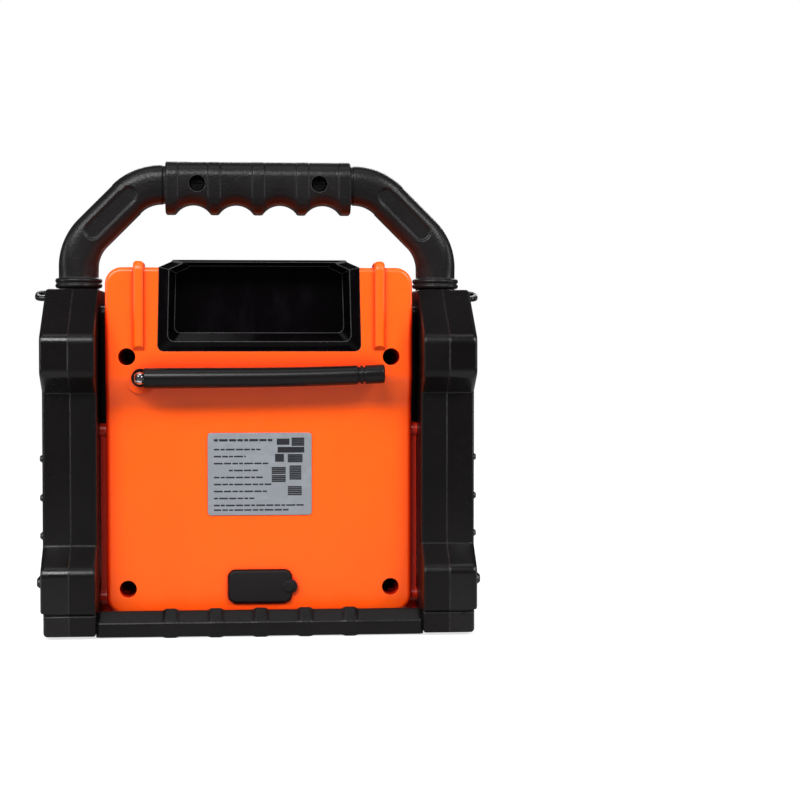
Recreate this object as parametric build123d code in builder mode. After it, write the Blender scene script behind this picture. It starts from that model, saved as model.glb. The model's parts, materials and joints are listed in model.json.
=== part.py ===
from build123d import *
from math import cos, radians, sin
import os

# Jobsite radio: a two-shell case held between side guards, with a carrying handle over it.
#
# Millimetres. +Z is up, the front faces -Y and the rear faces +Y. The origin is on the
# ground, under the middle of the radio. "Left" is the +X side. Heights are measured from a
# working level inside the guards' feet, and every finished piece is lifted from there.

os.makedirs("parts", exist_ok=True)

# ---------------------------------------------------------------- driving dimensions
standing_height = 2.4           # the working level above the ground
seat = 0.05                     # clearance of a seated or pressed piece
play = 0.3                      # clearance of a piece that moves in an opening

# case
case_half_width = 72.0
case_bottom = 5.6
case_top = 169.0
case_outline_r = 8.0            # corners of the outline, seen from behind
case_edge_r = 2.2
case_boss_r = 3.5
case_wall = 3.0
case_front = -47.0              # front face of the front shell
rear_low_y = 40.0               # lower panel of the rear shell
rear_high_y = 45.0              # upper panel of the rear shell
crease_low_z = 104.0
crease_high_z = 117.0
crease_r = 9.0
seal_thickness = 1.0
seal_inset = 0.4

# screws that join the shells
well_x = 61.9
well_top_z = 127.1
well_bottom_z = 17.7
well_r = 4.0
well_wall = 2.2
well_floor_y = 8.0
case_screw_r = 1.5
case_screw_reach = 12.0         # how far the screw runs into the front shell
screw_head_height = 2.2

# beads on the rear shell
bead_x = 56.4
bead_width = 5.0
bead_proud = 2.2
bead_over_top = 3.0
bead_bottom_z = 130.0
bead_front_y = 20.0
bead_fade = 16.0                # length over which it rises on the top

# phone tray
tray_half_bottom = 47.75
tray_half_top = 46.9
tray_half_crown = 40.3
tray_crown_step = 0.9
tray_bottom_z = 129.6
tray_top_z = 172.4
tray_corner_r = 3.0
tray_proud = 2.0
tray_rim_side = 4.9
tray_rim_bottom = 4.7
tray_rim_top = 1.2
tray_floor_side = 7.5
tray_floor_bottom = 8.7
tray_floor_top = 2.4
tray_floor_y = 34.0
tray_back = 2.5
tray_flange = 4.0
tray_flange_thickness = 2.0

# power inlets in the rear shell
port_x = 0.0
port_z = 18.5
port_width = 30.4
port_height = 15.9
port_r = 3.7
port_depth = 2.5
port_pad_thickness = 7.0
port_pad_margin = 4.5
usb_c_x = 4.8
usb_c_z = 22.4
usb_c_width = 8.94
usb_c_height = 3.2
usb_c_wall = 0.4
dc_x = -8.1
dc_z = 17.4
dc_r = 3.35
dc_pin_r = 1.0
notch_x = -13.9
notch_z = 18.0
notch_r = 3.6
inlet_board_y = 24.0
board_thickness = 1.6
cover_margin = 0.4              # gap between the rubber cover and its recess
cover_proud = 2.2
cover_thickness = 1.6
tab_x = -14.5
tab_r = 3.1
nub_r = 2.4
nub_height = 0.7

# antenna
pivot_x = 55.5
pivot_z = 117.2
whip_y = 53.2
whip_rise = 0.9                 # degrees above level when folded away
whip_root_r = 4.85
whip_tip_r = 4.4
whip_reach = 113.7              # pivot to tip
whip_start = 3.1                # pivot to the rubber
whip_lip = 1.3                  # how far the rubber laps over the knuckle
whip_cup_r = 3.25
cap_length = 12.6
cap_groove = 0.5
ferrule_depth = 9.0
ferrule_r = 2.6
knuckle_r = 2.9
tongue_thickness = 2.0
hinge_pin_r = 0.8
stem_r = 2.0
antenna_recess_r = 4.4
antenna_recess_depth = 3.6
antenna_boss_r = 7.5
antenna_boss_depth = 4.0
bush_thickness = 1.2
nut_r = 4.0
nut_thickness = 2.5

# rating label
label_width = 49.0
label_height = 38.9
label_r = 1.5
label_z = 71.7
label_thickness = 0.4

# side guards
guard_inner_x = 75.5
guard_seam_x = 87.6
guard_outer_x = 100.6
guard_wall = 3.0
guard_top = 159.0
guard_top_half = 32.0           # half the depth of the top face
guard_half = 65.0               # half the depth at the bumpers
column_half = 52.0              # half the depth between the bumpers
bumper_top_z = 136.4
bumper_low_z = 118.8
column_top_z = 110.4
column_low_z = 39.4
lower_bumper_z = 29.1
foot_step = 1.0                 # how far the foot stands back from the bumper over it
foot_top_z = 8.4
guard_bottom = -1.0
foot_inset = 1.2                # step of the outer half below its groove
foot_edge_r = 2.0
bumper_r = 5.4
groove_height = 1.4
groove_depth = 1.0
guard_edge_r = 1.8
rib_zs = (79.6, 61.3, 43.5)
rib_height = 4.8
rib_proud = 1.7
rib_half = 46.0
rib_taper = 38.0
low_rib_z = 23.3
low_rib_height = 6.6
low_rib_proud = 2.0
low_rib_half = 60.0
pad_low_z = 96.0
pad_high_z = 151.0
pad_half = 20.0
flange_low_z = 12.0
flange_high_z = 89.0
flange_y = 28.0
flange_thickness = 4.0

# screws that hold the guards to the case
guard_screw_y = 28.0
guard_screw_zs = (92.0, 12.8)
guard_boss_r = 5.0
guard_screw_r = 1.9
guard_screw_reach = 5.0         # how far the screw runs past the side of the case
guard_head_r = 3.6
guard_head_sink = 3.5

# handle
tube_r = 9.65
leg_x = 87.3
handle_z = 210.8
bend_r = 24.0
leg_corner_z = 180.1
arm_corner_x = 56.9
leg_spigot_r = 6.4
leg_spigot_depth = 26.0
collar_ring_r = 1.3
collar_ring_major = 10.05
collar_zs = (161.4, 163.8)
slot_length = 32.4
slot_shift = 1.3                # towards the grip, from the middle of the slant
slot_width = 7.9
slot_floor_r = 8.4

# grip
grip_half = 45.0
grip_half_depth = 11.6
grip_top = 221.9
grip_bottom = 196.3
grip_corner_r = 9.0
band_xs = (-42.0, -21.4, 0.0, 21.4, 42.0)
band_width = 6.0
band_proud = 0.8
scallop_xs = (-31.7, -10.7, 10.7, 31.7)
scallop_r = 10.2
scallop_valley_z = 201.0
grip_spigot_r = 6.0
grip_spigot_end = 22.0
grip_screw_x = 29.6
grip_screw_r = 1.6
grip_well_r = 3.9
grip_well_floor = 6.6
grip_screw_head = 1.4

# ground bars
bar_setback = 1.0               # behind the rear of the foot
bar_gap = 3.0                   # between the front bar and the front shell
bar_bottom = -1.9
bar_top = 9.9
bar_top_fall = 1.3
bar_chamfer = 5.2
bar_rib_xs = (-41.4, -20.7, 0.0, 20.7, 41.4)
bar_rib_width = 7.8
bar_rib_top = 4.6
bar_rib_proud = 1.0
bar_tenon_r = 3.0

# feet
foot_inner_x = 78.5
foot_outer_x = 97.0
foot_near_y = 22.0
foot_far_y = 48.0
foot_r = 3.0

# strap lugs, moulded on the guards
lug_tip_x = 108.4
lug_hole_x = 104.4
lug_hole_r = 2.3
lug_z = 156.5
lug_height = 2.4
lug_half = 5.0
lug_edge_r = 0.9
lug_lean = 22.0                 # degrees, its top face turned to the rear

# front panel
panel_half_width = 66.0
panel_low_z = 14.5
panel_high_z = 163.0
panel_r = 8.0
panel_thickness = 3.0
panel_edge_r = 1.2
panel_screw_x = 61.0
panel_screw_z_inset = 5.2
panel_screw_r = 1.3
front_opening_half = 57.5
front_opening_low_z = 21.0
front_opening_high_z = 157.0
front_opening_r = 4.0

# speaker
speaker_z = 66.5
grille_r = 44.0
grille_thickness = 1.0
grille_seat_depth = 2.0
sound_opening_r = 40.0
grille_cell = 5.0
grille_hole_r = 1.9
grille_hole_field_r = 39.0
basket_r = 44.5
basket_inner_r = 37.8
basket_flange = 1.5
basket_throat_r = 20.0
basket_wall = 1.5
basket_floor_y = -24.0
surround_gasket = 1.0
surround_centre_r = 33.9
surround_roll_r = 3.6
surround_skin = 0.8
cone_r = 30.0
cone_throat_r = 12.4
cone_front_y = -46.4
cone_back_y = -33.0
cone_skin = 0.8
coil_r = 12.4
coil_wall = 0.6
coil_end_y = -19.0
dust_cap_rise = 3.5
magnet_r = 26.0
magnet_back_y = -10.0
magnet_gap_end_y = -16.0
magnet_gap_inner_r = 11.2
magnet_gap_outer_r = 13.2

# display
display_x = -20.0
display_z = 146.0
display_width = 50.0
display_height = 21.0
display_r = 2.5
window_margin = 2.0
window_thickness = 1.2

# board behind the panel
board_y = -39.0
board_half_width = 56.5
board_low_z = 116.0
board_high_z = 157.0
post_x = 53.5
post_zs = (119.5, 153.0)
post_r = 2.6

# buttons
button_z = 123.0
button_pitch = 14.0
button_first_x = -44.0
button_names = ("power", "mode", "previous", "play", "next")
button_width = 10.0
button_height = 6.0
button_r = 2.6
button_proud = 1.4
button_flange = 1.2
button_flange_thickness = 1.0
button_travel = 0.8
button_stem_r = 1.6

# volume knob
knob_x = 38.0
knob_z = 143.5
knob_r = 13.5
knob_skirt_r = 14.5
knob_front_y = -62.0
knob_gap = 0.6
knob_flute_count = 24
knob_flute_r = 0.9
shaft_r = 3.0
shaft_clearance = 0.05
bushing_r = 4.5
encoder_half = 6.5
encoder_front_y = -46.0
bushing_front_y = -53.0

# status light
light_x = 38.0
light_z = 122.0
light_r = 1.5
light_proud = 0.4

# media sockets at the front
media_x = 43.0
media_z = 26.5
media_width = 24.0
media_height = 11.5
media_r = 2.5
media_depth = 2.0
media_box_depth = 3.0
usb_a_x = 38.5
usb_a_width = 12.5
usb_a_height = 5.12
usb_a_wall = 0.4
aux_x = 50.5
aux_r = 1.8
aux_body_r = 3.6
media_socket_back_y = -33.0

# battery
cell_r = 9.2
cell_length = 65.0
cell_ys = (-8.5, 11.5)
holder_half_width = 36.0
holder_floor = 1.6
holder_side = 2.0
holder_height = 11.0
holder_end = 2.5

# ---------------------------------------------------------------- derived places
seal_half = seal_thickness / 2
panel_front = case_front - panel_thickness
rear_inner_low_y = rear_low_y - case_wall
rear_inner_high_y = rear_high_y - case_wall
case_floor_z = case_bottom + case_wall
ledge_z = foot_top_z + 1.0
foot_half = guard_half - foot_step
bar_rear = foot_half - bar_setback
bar_depth = bar_rear + case_front - bar_gap
antenna_floor_y = rear_high_y - antenna_recess_depth
antenna_boss_y = rear_inner_high_y - antenna_boss_depth
port_floor_y = rear_low_y - port_depth
port_pad_y = rear_low_y - port_pad_thickness
board_back_y = board_y + board_thickness
whip_plane = Plane(
    origin=(pivot_x, whip_y, pivot_z),
    x_dir=(-cos(radians(whip_rise)), 0, sin(radians(whip_rise))),
    z_dir=(0, -1, 0),
)
well_places = [(side * well_x, z) for side in (-1, 1) for z in (well_bottom_z, well_top_z)]
panel_screw_places = [
    (side * panel_screw_x, z)
    for side in (-1, 1)
    for z in (panel_low_z + panel_screw_z_inset, panel_high_z - panel_screw_z_inset)
]


def upright(y):
    """The plane that stands at depth y, with its normal towards the front (-Y)."""
    return Plane.XZ.offset(-y)


def mirrored_x(x):
    """A place and its twin on the other side."""
    return (-x, x)


def write(piece, name):
    """Lift a finished piece to its place over the ground, and write its STEP file."""
    finished = piece.part.moved(Location((0, 0, standing_height)))
    finished.label = name
    export_step(finished, f"parts/{name}.step")


def rim_edges(low_y, high_y):
    """The edges of a case shell's blank that frame its face between two depths."""
    return edges().filter_by(
        lambda e: low_y - 0.1 < e.center().Y < high_y + 0.1
        and (
            abs(e.center().X) > case_half_width - case_outline_r
            or not case_bottom + 1 < e.center().Z < case_top - 1
        )
    )


# ---------------------------------------------------------------- case shells
with BuildPart() as rear_shell_blank:
    with BuildSketch(Plane.YZ):
        with BuildLine():
            Polyline(
                (seal_half, case_bottom),
                (rear_low_y, case_bottom),
                (rear_low_y, crease_low_z),
                (rear_high_y, crease_high_z),
                (rear_high_y, case_top),
                (seal_half, case_top),
                close=True,
            )
        make_face()
        creases = [v for v in vertices() if v.Y in (crease_low_z, crease_high_z)]
        fillet(creases, crease_r)
    extrude(amount=case_half_width, both=True)
    fillet(edges().filter_by(Axis.Y), case_outline_r)
    fillet(rim_edges(rear_low_y, rear_high_y), case_edge_r)
    seam_face = faces().sort_by(Axis.Y)[0]
    offset(amount=-case_wall, openings=seam_face)

with BuildPart() as bead:
    with BuildSketch(Plane.YZ.offset(bead_x - bead_width / 2)):
        with BuildLine():
            Polyline(
                (bead_front_y, case_top - case_wall / 2),
                (bead_front_y + bead_fade, case_top + bead_over_top),
                (rear_high_y + bead_proud, case_top + bead_over_top),
                (rear_high_y + bead_proud, bead_bottom_z + bead_proud),
                (rear_high_y - case_wall / 2, bead_bottom_z - case_wall / 2),
                (rear_high_y - case_wall / 2, case_top - case_wall / 2),
                close=True,
            )
        make_face()
        outer_corner = vertices().sort_by(lambda v: v.X + v.Y)[-1]
        fillet(outer_corner, case_edge_r + bead_proud)
        inner_corner = [
            v for v in vertices()
            if abs(v.X - rear_high_y + case_wall / 2) < 0.01 and v.Y > case_top - case_wall
        ]
        fillet(inner_corner, case_edge_r)
    extrude(amount=bead_width)
    crest = edges().filter_by(
        lambda e: abs(e.center().X - bead_x) > bead_width / 2 - 0.1
        and (e.center().Z > case_top + 1 or e.center().Y > rear_high_y + 0.9)
    )
    fillet(crest, bead_proud * 0.8)


def tray_outline(side, bottom, top):
    """The tray's outline in an upright sketch, drawn in by side, bottom and top."""
    with BuildLine() as outline:
        Polyline(
            (-tray_half_bottom + side, tray_bottom_z + bottom),
            (tray_half_bottom - side, tray_bottom_z + bottom),
            (tray_half_top - side, case_top - top),
            (tray_half_crown + tray_crown_step - side, tray_top_z - tray_crown_step - top),
            (tray_half_crown - side, tray_top_z - top),
            (-tray_half_crown + side, tray_top_z - top),
            (-tray_half_crown - tray_crown_step + side, tray_top_z - tray_crown_step - top),
            (-tray_half_top + side, case_top - top),
            close=True,
        )
    make_face(outline.edges())
    fillet(vertices().group_by(Axis.Y)[0], tray_corner_r)


with BuildPart() as rear_housing:
    add(rear_shell_blank.part)
    add(bead.part)
    mirror(bead.part, about=Plane.YZ)
    with BuildSketch(upright(seal_half)):
        with Locations(*well_places):
            Circle(well_r + well_wall)
    extrude(amount=-(rear_inner_low_y - seal_half + case_wall / 2))
    with BuildSketch(upright(rear_inner_low_y)):
        with Locations(*[place for place in well_places if place[1] > crease_high_z]):
            Circle(well_r + well_wall)
    extrude(amount=-(rear_high_y - rear_inner_low_y - case_wall / 2))
    with BuildSketch(upright(antenna_boss_y)):
        with Locations((pivot_x, pivot_z)):
            Circle(antenna_boss_r)
    extrude(amount=-antenna_boss_depth - case_wall / 2)
    with BuildSketch(upright(port_pad_y)):
        with Locations((port_x, port_z)):
            Rectangle(port_width + 2 * port_pad_margin, port_height + 2 * port_pad_margin / 2)
    extrude(amount=-port_pad_thickness + case_wall / 2)
    # bosses and flange in the gap to the guards
    with BuildSketch(Plane.YZ.offset(case_half_width - 2 * case_wall)):
        with Locations(*[(guard_screw_y, z) for z in guard_screw_zs]):
            Circle(case_boss_r)
    side_boss = extrude(amount=guard_inner_x - case_half_width + 2 * case_wall)
    mirror(side_boss, about=Plane.YZ)
    with BuildSketch(Plane.XY.offset(flange_low_z)):
        with Locations(((case_half_width + guard_inner_x - play) / 2 - 0.5, flange_y)):
            Rectangle(guard_inner_x - case_half_width - play + 1.0, flange_thickness)
    side_flange = extrude(amount=flange_high_z - flange_low_z)
    mirror(side_flange, about=Plane.YZ)
    # screw wells, with a seat for the head and a way through
    with BuildSketch(upright(rear_high_y + 1)):
        with Locations(*well_places):
            Circle(well_r)
    extrude(amount=rear_high_y + 1 - well_floor_y, mode=Mode.SUBTRACT)
    with BuildSketch(upright(well_floor_y)):
        with Locations(*well_places):
            Circle(case_screw_r + 0.3)
    extrude(amount=well_floor_y - seal_half, mode=Mode.SUBTRACT)
    # tray opening through the panel and the top
    with BuildSketch(upright(rear_high_y + bead_proud)):
        tray_outline(-seat, -seat, -seat)
    tray_cut_front = tray_floor_y - tray_back - seat
    extrude(amount=rear_high_y + bead_proud - tray_cut_front, mode=Mode.SUBTRACT)
    # antenna recess and the hole for its stem
    with BuildSketch(upright(rear_high_y + 1)):
        with Locations((pivot_x, pivot_z)):
            Circle(antenna_recess_r)
    extrude(amount=rear_high_y + 1 - antenna_floor_y, mode=Mode.SUBTRACT)
    with BuildSketch(upright(antenna_floor_y)):
        with Locations((pivot_x, pivot_z)):
            Circle(stem_r + play)
    extrude(amount=antenna_floor_y - antenna_boss_y, mode=Mode.SUBTRACT)
    # inlet recess with its finger notch, and the two inlets
    with BuildSketch(upright(rear_low_y)):
        with Locations((port_x, port_z)):
            RectangleRounded(port_width, port_height, port_r)
        with Locations((notch_x, notch_z)):
            Circle(notch_r)
    extrude(amount=port_depth, mode=Mode.SUBTRACT)
    with BuildSketch(upright(port_floor_y)):
        with Locations((usb_c_x, usb_c_z)):
            SlotOverall(usb_c_width + 2 * seat, usb_c_height + 2 * seat)
        with Locations((dc_x, dc_z)):
            Circle(dc_r + seat)
    extrude(amount=port_floor_y - port_pad_y, mode=Mode.SUBTRACT)
    # pilot holes for the guard screws
    with BuildSketch(Plane.YZ.offset(guard_inner_x)):
        with Locations(*[(guard_screw_y, z) for z in guard_screw_zs]):
            Circle(guard_screw_r + seat)
    pilot_depth = guard_inner_x - case_half_width + guard_screw_reach + 0.4
    pilot = extrude(amount=-pilot_depth, mode=Mode.PRIVATE)
    add(pilot, mode=Mode.SUBTRACT)
    mirror(pilot, about=Plane.YZ, mode=Mode.SUBTRACT)
write(rear_housing, "rear_housing")

with BuildPart() as front_housing:
    with BuildSketch(Plane.YZ):
        with BuildLine():
            Polyline(
                (-seal_half, case_bottom),
                (case_front, case_bottom),
                (case_front, case_top),
                (-seal_half, case_top),
                close=True,
            )
        make_face()
    extrude(amount=case_half_width, both=True)
    fillet(edges().filter_by(Axis.Y), case_outline_r)
    fillet(rim_edges(case_front, case_front), case_edge_r)
    seam_face = faces().sort_by(Axis.Y)[-1]
    offset(amount=-case_wall, openings=seam_face)
    with BuildSketch(upright(-seal_half)):
        with Locations(*well_places):
            Circle(well_r + well_wall / 2)
    extrude(amount=-case_front - seal_half - case_wall / 2)
    with BuildSketch(Plane.YZ.offset(case_half_width - 2 * case_wall)):
        with Locations(*[(-guard_screw_y, z) for z in guard_screw_zs]):
            Circle(case_boss_r)
    side_boss = extrude(amount=guard_inner_x - case_half_width + 2 * case_wall)
    mirror(side_boss, about=Plane.YZ)
    with BuildSketch(upright(case_front)):
        with Locations((0, (front_opening_low_z + front_opening_high_z) / 2)):
            opening_height = front_opening_high_z - front_opening_low_z
            RectangleRounded(2 * front_opening_half, opening_height, front_opening_r)
    extrude(amount=-case_wall - 1, mode=Mode.SUBTRACT)
    with BuildSketch(upright(-seal_half)):
        with Locations(*well_places):
            Circle(case_screw_r + seat)
    extrude(amount=case_screw_reach + 1, mode=Mode.SUBTRACT)
    with BuildSketch(upright(case_front)):
        with Locations(*panel_screw_places):
            Circle(panel_screw_r + seat)
    extrude(amount=-case_wall, mode=Mode.SUBTRACT)
    with BuildSketch(Plane.YZ.offset(guard_inner_x)):
        with Locations(*[(-guard_screw_y, z) for z in guard_screw_zs]):
            Circle(guard_screw_r + seat)
    pilot = extrude(amount=-pilot_depth, mode=Mode.PRIVATE)
    add(pilot, mode=Mode.SUBTRACT)
    mirror(pilot, about=Plane.YZ, mode=Mode.SUBTRACT)
write(front_housing, "front_housing")

case_mid_z = (case_bottom + case_top) / 2
case_height = case_top - case_bottom
with BuildPart() as housing_seal:
    with BuildSketch(upright(seal_half)):
        with Locations((0, case_mid_z)):
            RectangleRounded(
                2 * (case_half_width - seal_inset),
                case_height - 2 * seal_inset,
                case_outline_r - seal_inset,
            )
            RectangleRounded(
                2 * (case_half_width - case_wall),
                case_height - 2 * case_wall,
                case_outline_r - case_wall,
                mode=Mode.SUBTRACT,
            )
    extrude(amount=seal_thickness)
write(housing_seal, "housing_seal")

with BuildPart() as housing_screws:
    with BuildSketch(upright(well_floor_y)):
        with Locations(*well_places):
            Circle(well_r - 0.6)
    extrude(amount=-screw_head_height)
    with BuildSketch(upright(well_floor_y)):
        with Locations(*well_places):
            Circle(case_screw_r)
    extrude(amount=well_floor_y + case_screw_reach)
    for place in well_places:
        with BuildSketch(upright(well_floor_y + screw_head_height)):
            with Locations(place):
                Rectangle(well_r, well_r * 0.25)
                Rectangle(well_r * 0.25, well_r)
        extrude(amount=screw_head_height * 0.6, mode=Mode.SUBTRACT)
write(housing_screws, "housing_screws")

# ---------------------------------------------------------------- phone tray
with BuildPart() as phone_tray:
    with BuildSketch(upright(tray_floor_y - tray_back)):
        tray_outline(0, 0, 0)
    extrude(amount=-(rear_high_y - tray_floor_y + tray_back))
    with BuildSketch(upright(rear_high_y)):
        tray_outline(0, 0, 0)
    with BuildSketch(upright(rear_high_y + tray_proud)):
        tray_outline(tray_rim_side, tray_rim_bottom, tray_rim_top)
    loft(ruled=True)
    # flange behind the rear panel
    flange_top_z = case_top - case_outline_r - case_wall
    flange_low = tray_bottom_z - tray_flange
    with BuildSketch(upright(rear_inner_high_y)):
        with Locations((0, (flange_top_z + flange_low) / 2)):
            Rectangle(2 * (tray_half_bottom + tray_flange), flange_top_z - flange_low)
    extrude(amount=tray_flange_thickness)
    with BuildSketch(upright(rear_high_y + tray_proud)):
        tray_outline(tray_rim_side, tray_rim_bottom, tray_rim_top)
    with BuildSketch(upright(tray_floor_y)):
        tray_outline(tray_floor_side, tray_floor_bottom, tray_floor_top)
    loft(ruled=True, mode=Mode.SUBTRACT)
write(phone_tray, "phone_tray")

# ---------------------------------------------------------------- rating label
with BuildPart() as rating_label:
    with BuildSketch(upright(rear_low_y)):
        with Locations((0, label_z)):
            RectangleRounded(label_width, label_height, label_r)
    extrude(amount=-label_thickness)
write(rating_label, "rating_label")

# ---------------------------------------------------------------- power inlets
inlet_depth = port_floor_y - inlet_board_y - board_thickness
with BuildPart() as usb_c_socket:
    with BuildSketch(upright(port_floor_y)):
        with Locations((usb_c_x, usb_c_z)):
            SlotOverall(usb_c_width, usb_c_height)
    extrude(amount=inlet_depth)
    with BuildSketch(upright(port_floor_y)):
        with Locations((usb_c_x, usb_c_z)):
            inner_width = usb_c_width - 2 * usb_c_wall
            inner_height = usb_c_height - 2 * usb_c_wall
            SlotOverall(inner_width, inner_height)
    extrude(amount=inlet_depth - 1, mode=Mode.SUBTRACT)
    with BuildSketch(upright(port_floor_y - inlet_depth)):
        with Locations((usb_c_x, usb_c_z)):
            Rectangle(inner_width - 2.0, inner_height / 3.5)
    extrude(amount=-inlet_depth + 1)
write(usb_c_socket, "usb_c_socket")

with BuildPart() as dc_jack:
    with BuildSketch(upright(port_floor_y)):
        with Locations((dc_x, dc_z)):
            Circle(dc_r)
    extrude(amount=inlet_depth)
    with BuildSketch(upright(port_floor_y)):
        with Locations((dc_x, dc_z)):
            Circle(dc_r - 0.6)
    extrude(amount=inlet_depth - 1.5, mode=Mode.SUBTRACT)
write(dc_jack, "dc_jack")

with BuildPart() as dc_jack_pin:
    with BuildSketch(upright(port_floor_y - inlet_depth + 1.5)):
        with Locations((dc_x, dc_z)):
            Circle(dc_pin_r)
    extrude(amount=-(inlet_depth - 3.0))
    fillet(edges().group_by(Axis.Y)[-1], dc_pin_r * 0.6)
write(dc_jack_pin, "dc_jack_pin")

inlet_post_places = [(usb_c_x + 10.0, port_z - 4.5), (dc_x - 9.0, port_z - 4.5)]
with BuildPart() as power_board:
    board_low = case_floor_z + play
    board_high = port_z + port_height / 2 + 2.0
    with BuildSketch(upright(inlet_board_y + board_thickness)):
        with Locations((port_x - 1.0, (board_low + board_high) / 2)):
            Rectangle(port_width + 8.0, board_high - board_low)
    extrude(amount=board_thickness)
    with BuildSketch(upright(inlet_board_y)):
        with Locations((usb_c_x + 6.0, port_z), (dc_x - 4.0, port_z + 3.0)):
            Rectangle(7.0, 5.0)
    extrude(amount=1.2)
write(power_board, "power_board")

with BuildPart() as power_board_posts:
    with BuildSketch(upright(port_pad_y)):
        with Locations(*inlet_post_places):
            Circle(2.2)
    extrude(amount=port_pad_y - inlet_board_y - board_thickness)
write(power_board_posts, "power_board_posts")

with BuildPart() as port_cover:
    cover_width = port_width - 2 * cover_margin
    cover_height = port_height - 2 * cover_margin
    with BuildSketch(upright(port_floor_y + play)):
        with Locations((port_x, port_z)):
            RectangleRounded(cover_width, cover_height, port_r - cover_margin)
    extrude(amount=-(port_depth - play + cover_proud))
    fillet(faces().sort_by(Axis.Y)[-1].edges(), 1.0)
    with BuildSketch(upright(rear_low_y + play)):
        with Locations((tab_x, port_z)):
            Circle(tab_r)
    extrude(amount=-cover_proud + play)
    with BuildSketch(upright(rear_low_y + cover_proud)):
        with Locations((tab_x + 1.0, port_z)):
            Circle(nub_r)
    extrude(amount=-nub_height)
write(port_cover, "port_cover")

# ---------------------------------------------------------------- antenna
with BuildPart() as antenna_base:
    with BuildSketch(upright(antenna_floor_y)):
        with Locations((pivot_x, pivot_z)):
            Circle(antenna_recess_r - seat)
            Circle(stem_r + seat, mode=Mode.SUBTRACT)
    extrude(amount=-bush_thickness)
write(antenna_base, "antenna_base")

bush_top_y = antenna_floor_y + bush_thickness
with BuildPart() as antenna_knuckle:
    with BuildSketch(upright(whip_y)):
        with Locations((pivot_x, pivot_z)):
            Circle(knuckle_r)
    extrude(amount=whip_y - bush_top_y - seat)
    with Locations((pivot_x, whip_y, pivot_z)):
        Sphere(knuckle_r)
    with BuildSketch(upright(bush_top_y + seat)):
        with Locations((pivot_x, pivot_z)):
            Circle(stem_r)
    extrude(amount=bush_top_y + seat - antenna_boss_y + nut_thickness)
    slot_half = tongue_thickness / 2 + 0.15
    with BuildSketch(whip_plane):
        Rectangle(4 * knuckle_r, 2 * slot_half)
    extrude(amount=knuckle_r, mode=Mode.SUBTRACT)
    with BuildSketch(Plane(whip_plane.origin, x_dir=whip_plane.x_dir, z_dir=(0, 1, 0))):
        Rectangle(4 * knuckle_r, 2 * slot_half)
    extrude(amount=2 * knuckle_r, mode=Mode.SUBTRACT)
    pin_axis = (sin(radians(whip_rise)), 0, cos(radians(whip_rise)))
    with BuildSketch(Plane((pivot_x, whip_y, pivot_z), x_dir=(0, 1, 0), z_dir=pin_axis)):
        Circle(hinge_pin_r + seat)
    extrude(amount=knuckle_r, both=True, mode=Mode.SUBTRACT)
write(antenna_knuckle, "antenna_knuckle")

with BuildPart() as antenna_nut:
    with BuildSketch(upright(antenna_boss_y - seat)):
        with Locations((pivot_x, pivot_z)):
            RegularPolygon(nut_r, 6)
            Circle(stem_r + seat, mode=Mode.SUBTRACT)
    extrude(amount=nut_thickness)
write(antenna_nut, "antenna_nut")

pin_plane = Plane((pivot_x, whip_y, pivot_z), x_dir=(0, 1, 0), z_dir=pin_axis)
with BuildPart() as antenna_pin:
    with BuildSketch(pin_plane):
        Circle(hinge_pin_r)
    extrude(amount=knuckle_r - 0.3, both=True)
write(antenna_pin, "antenna_pin")

with BuildPart() as antenna_ferrule:
    with BuildSketch(pin_plane):
        Circle(knuckle_r - 0.5)
    extrude(amount=tongue_thickness / 2, both=True)
    with BuildSketch(whip_plane):
        with Locations(((whip_start + 0.5) / 2, 0)):
            Rectangle(whip_start + 0.5, tongue_thickness)
    extrude(amount=knuckle_r - 0.5, both=True)
    ferrule_plane = Plane(
        tuple(whip_plane.from_local_coords((whip_start, 0, 0))),
        x_dir=(0, 1, 0),
        z_dir=whip_plane.x_dir,
    )
    with BuildSketch(ferrule_plane):
        Circle(ferrule_r)
    extrude(amount=ferrule_depth)
    with BuildSketch(pin_plane):
        Circle(hinge_pin_r + 0.05)
    extrude(amount=tongue_thickness, both=True, mode=Mode.SUBTRACT)
write(antenna_ferrule, "antenna_ferrule")


def whip_radius(reach):
    """Radius of the tapered whip at a distance from the pivot."""
    return whip_root_r + (whip_tip_r - whip_root_r) * (reach / whip_reach)


with BuildPart() as antenna_whip:
    cap_start = whip_reach - cap_length
    with BuildSketch(whip_plane):
        with BuildLine():
            Polyline(
                (whip_start - whip_lip, 0),
                (whip_start - whip_lip, whip_radius(0) - 0.8),
                (whip_start - whip_lip + 0.8, whip_radius(0)),
                (cap_start, whip_radius(cap_start)),
                (cap_start, 0),
                close=True,
            )
        make_face()
    whip_axis = Axis((pivot_x, whip_y, pivot_z), whip_plane.x_dir)
    revolve(axis=whip_axis)
    with BuildSketch(ferrule_plane):
        Circle(ferrule_r + seat)
    extrude(amount=ferrule_depth + seat, mode=Mode.SUBTRACT)
    # the end laps over the knuckle, and is open towards the case
    with BuildSketch(ferrule_plane):
        Circle(whip_cup_r)
    extrude(amount=-whip_lip, mode=Mode.SUBTRACT)
    with BuildSketch(whip_plane):
        with Locations((whip_start - whip_lip, 0)):
            Rectangle(2 * whip_lip, 4 * whip_root_r)
    extrude(amount=2 * whip_root_r, mode=Mode.SUBTRACT)
write(antenna_whip, "antenna_whip")

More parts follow.
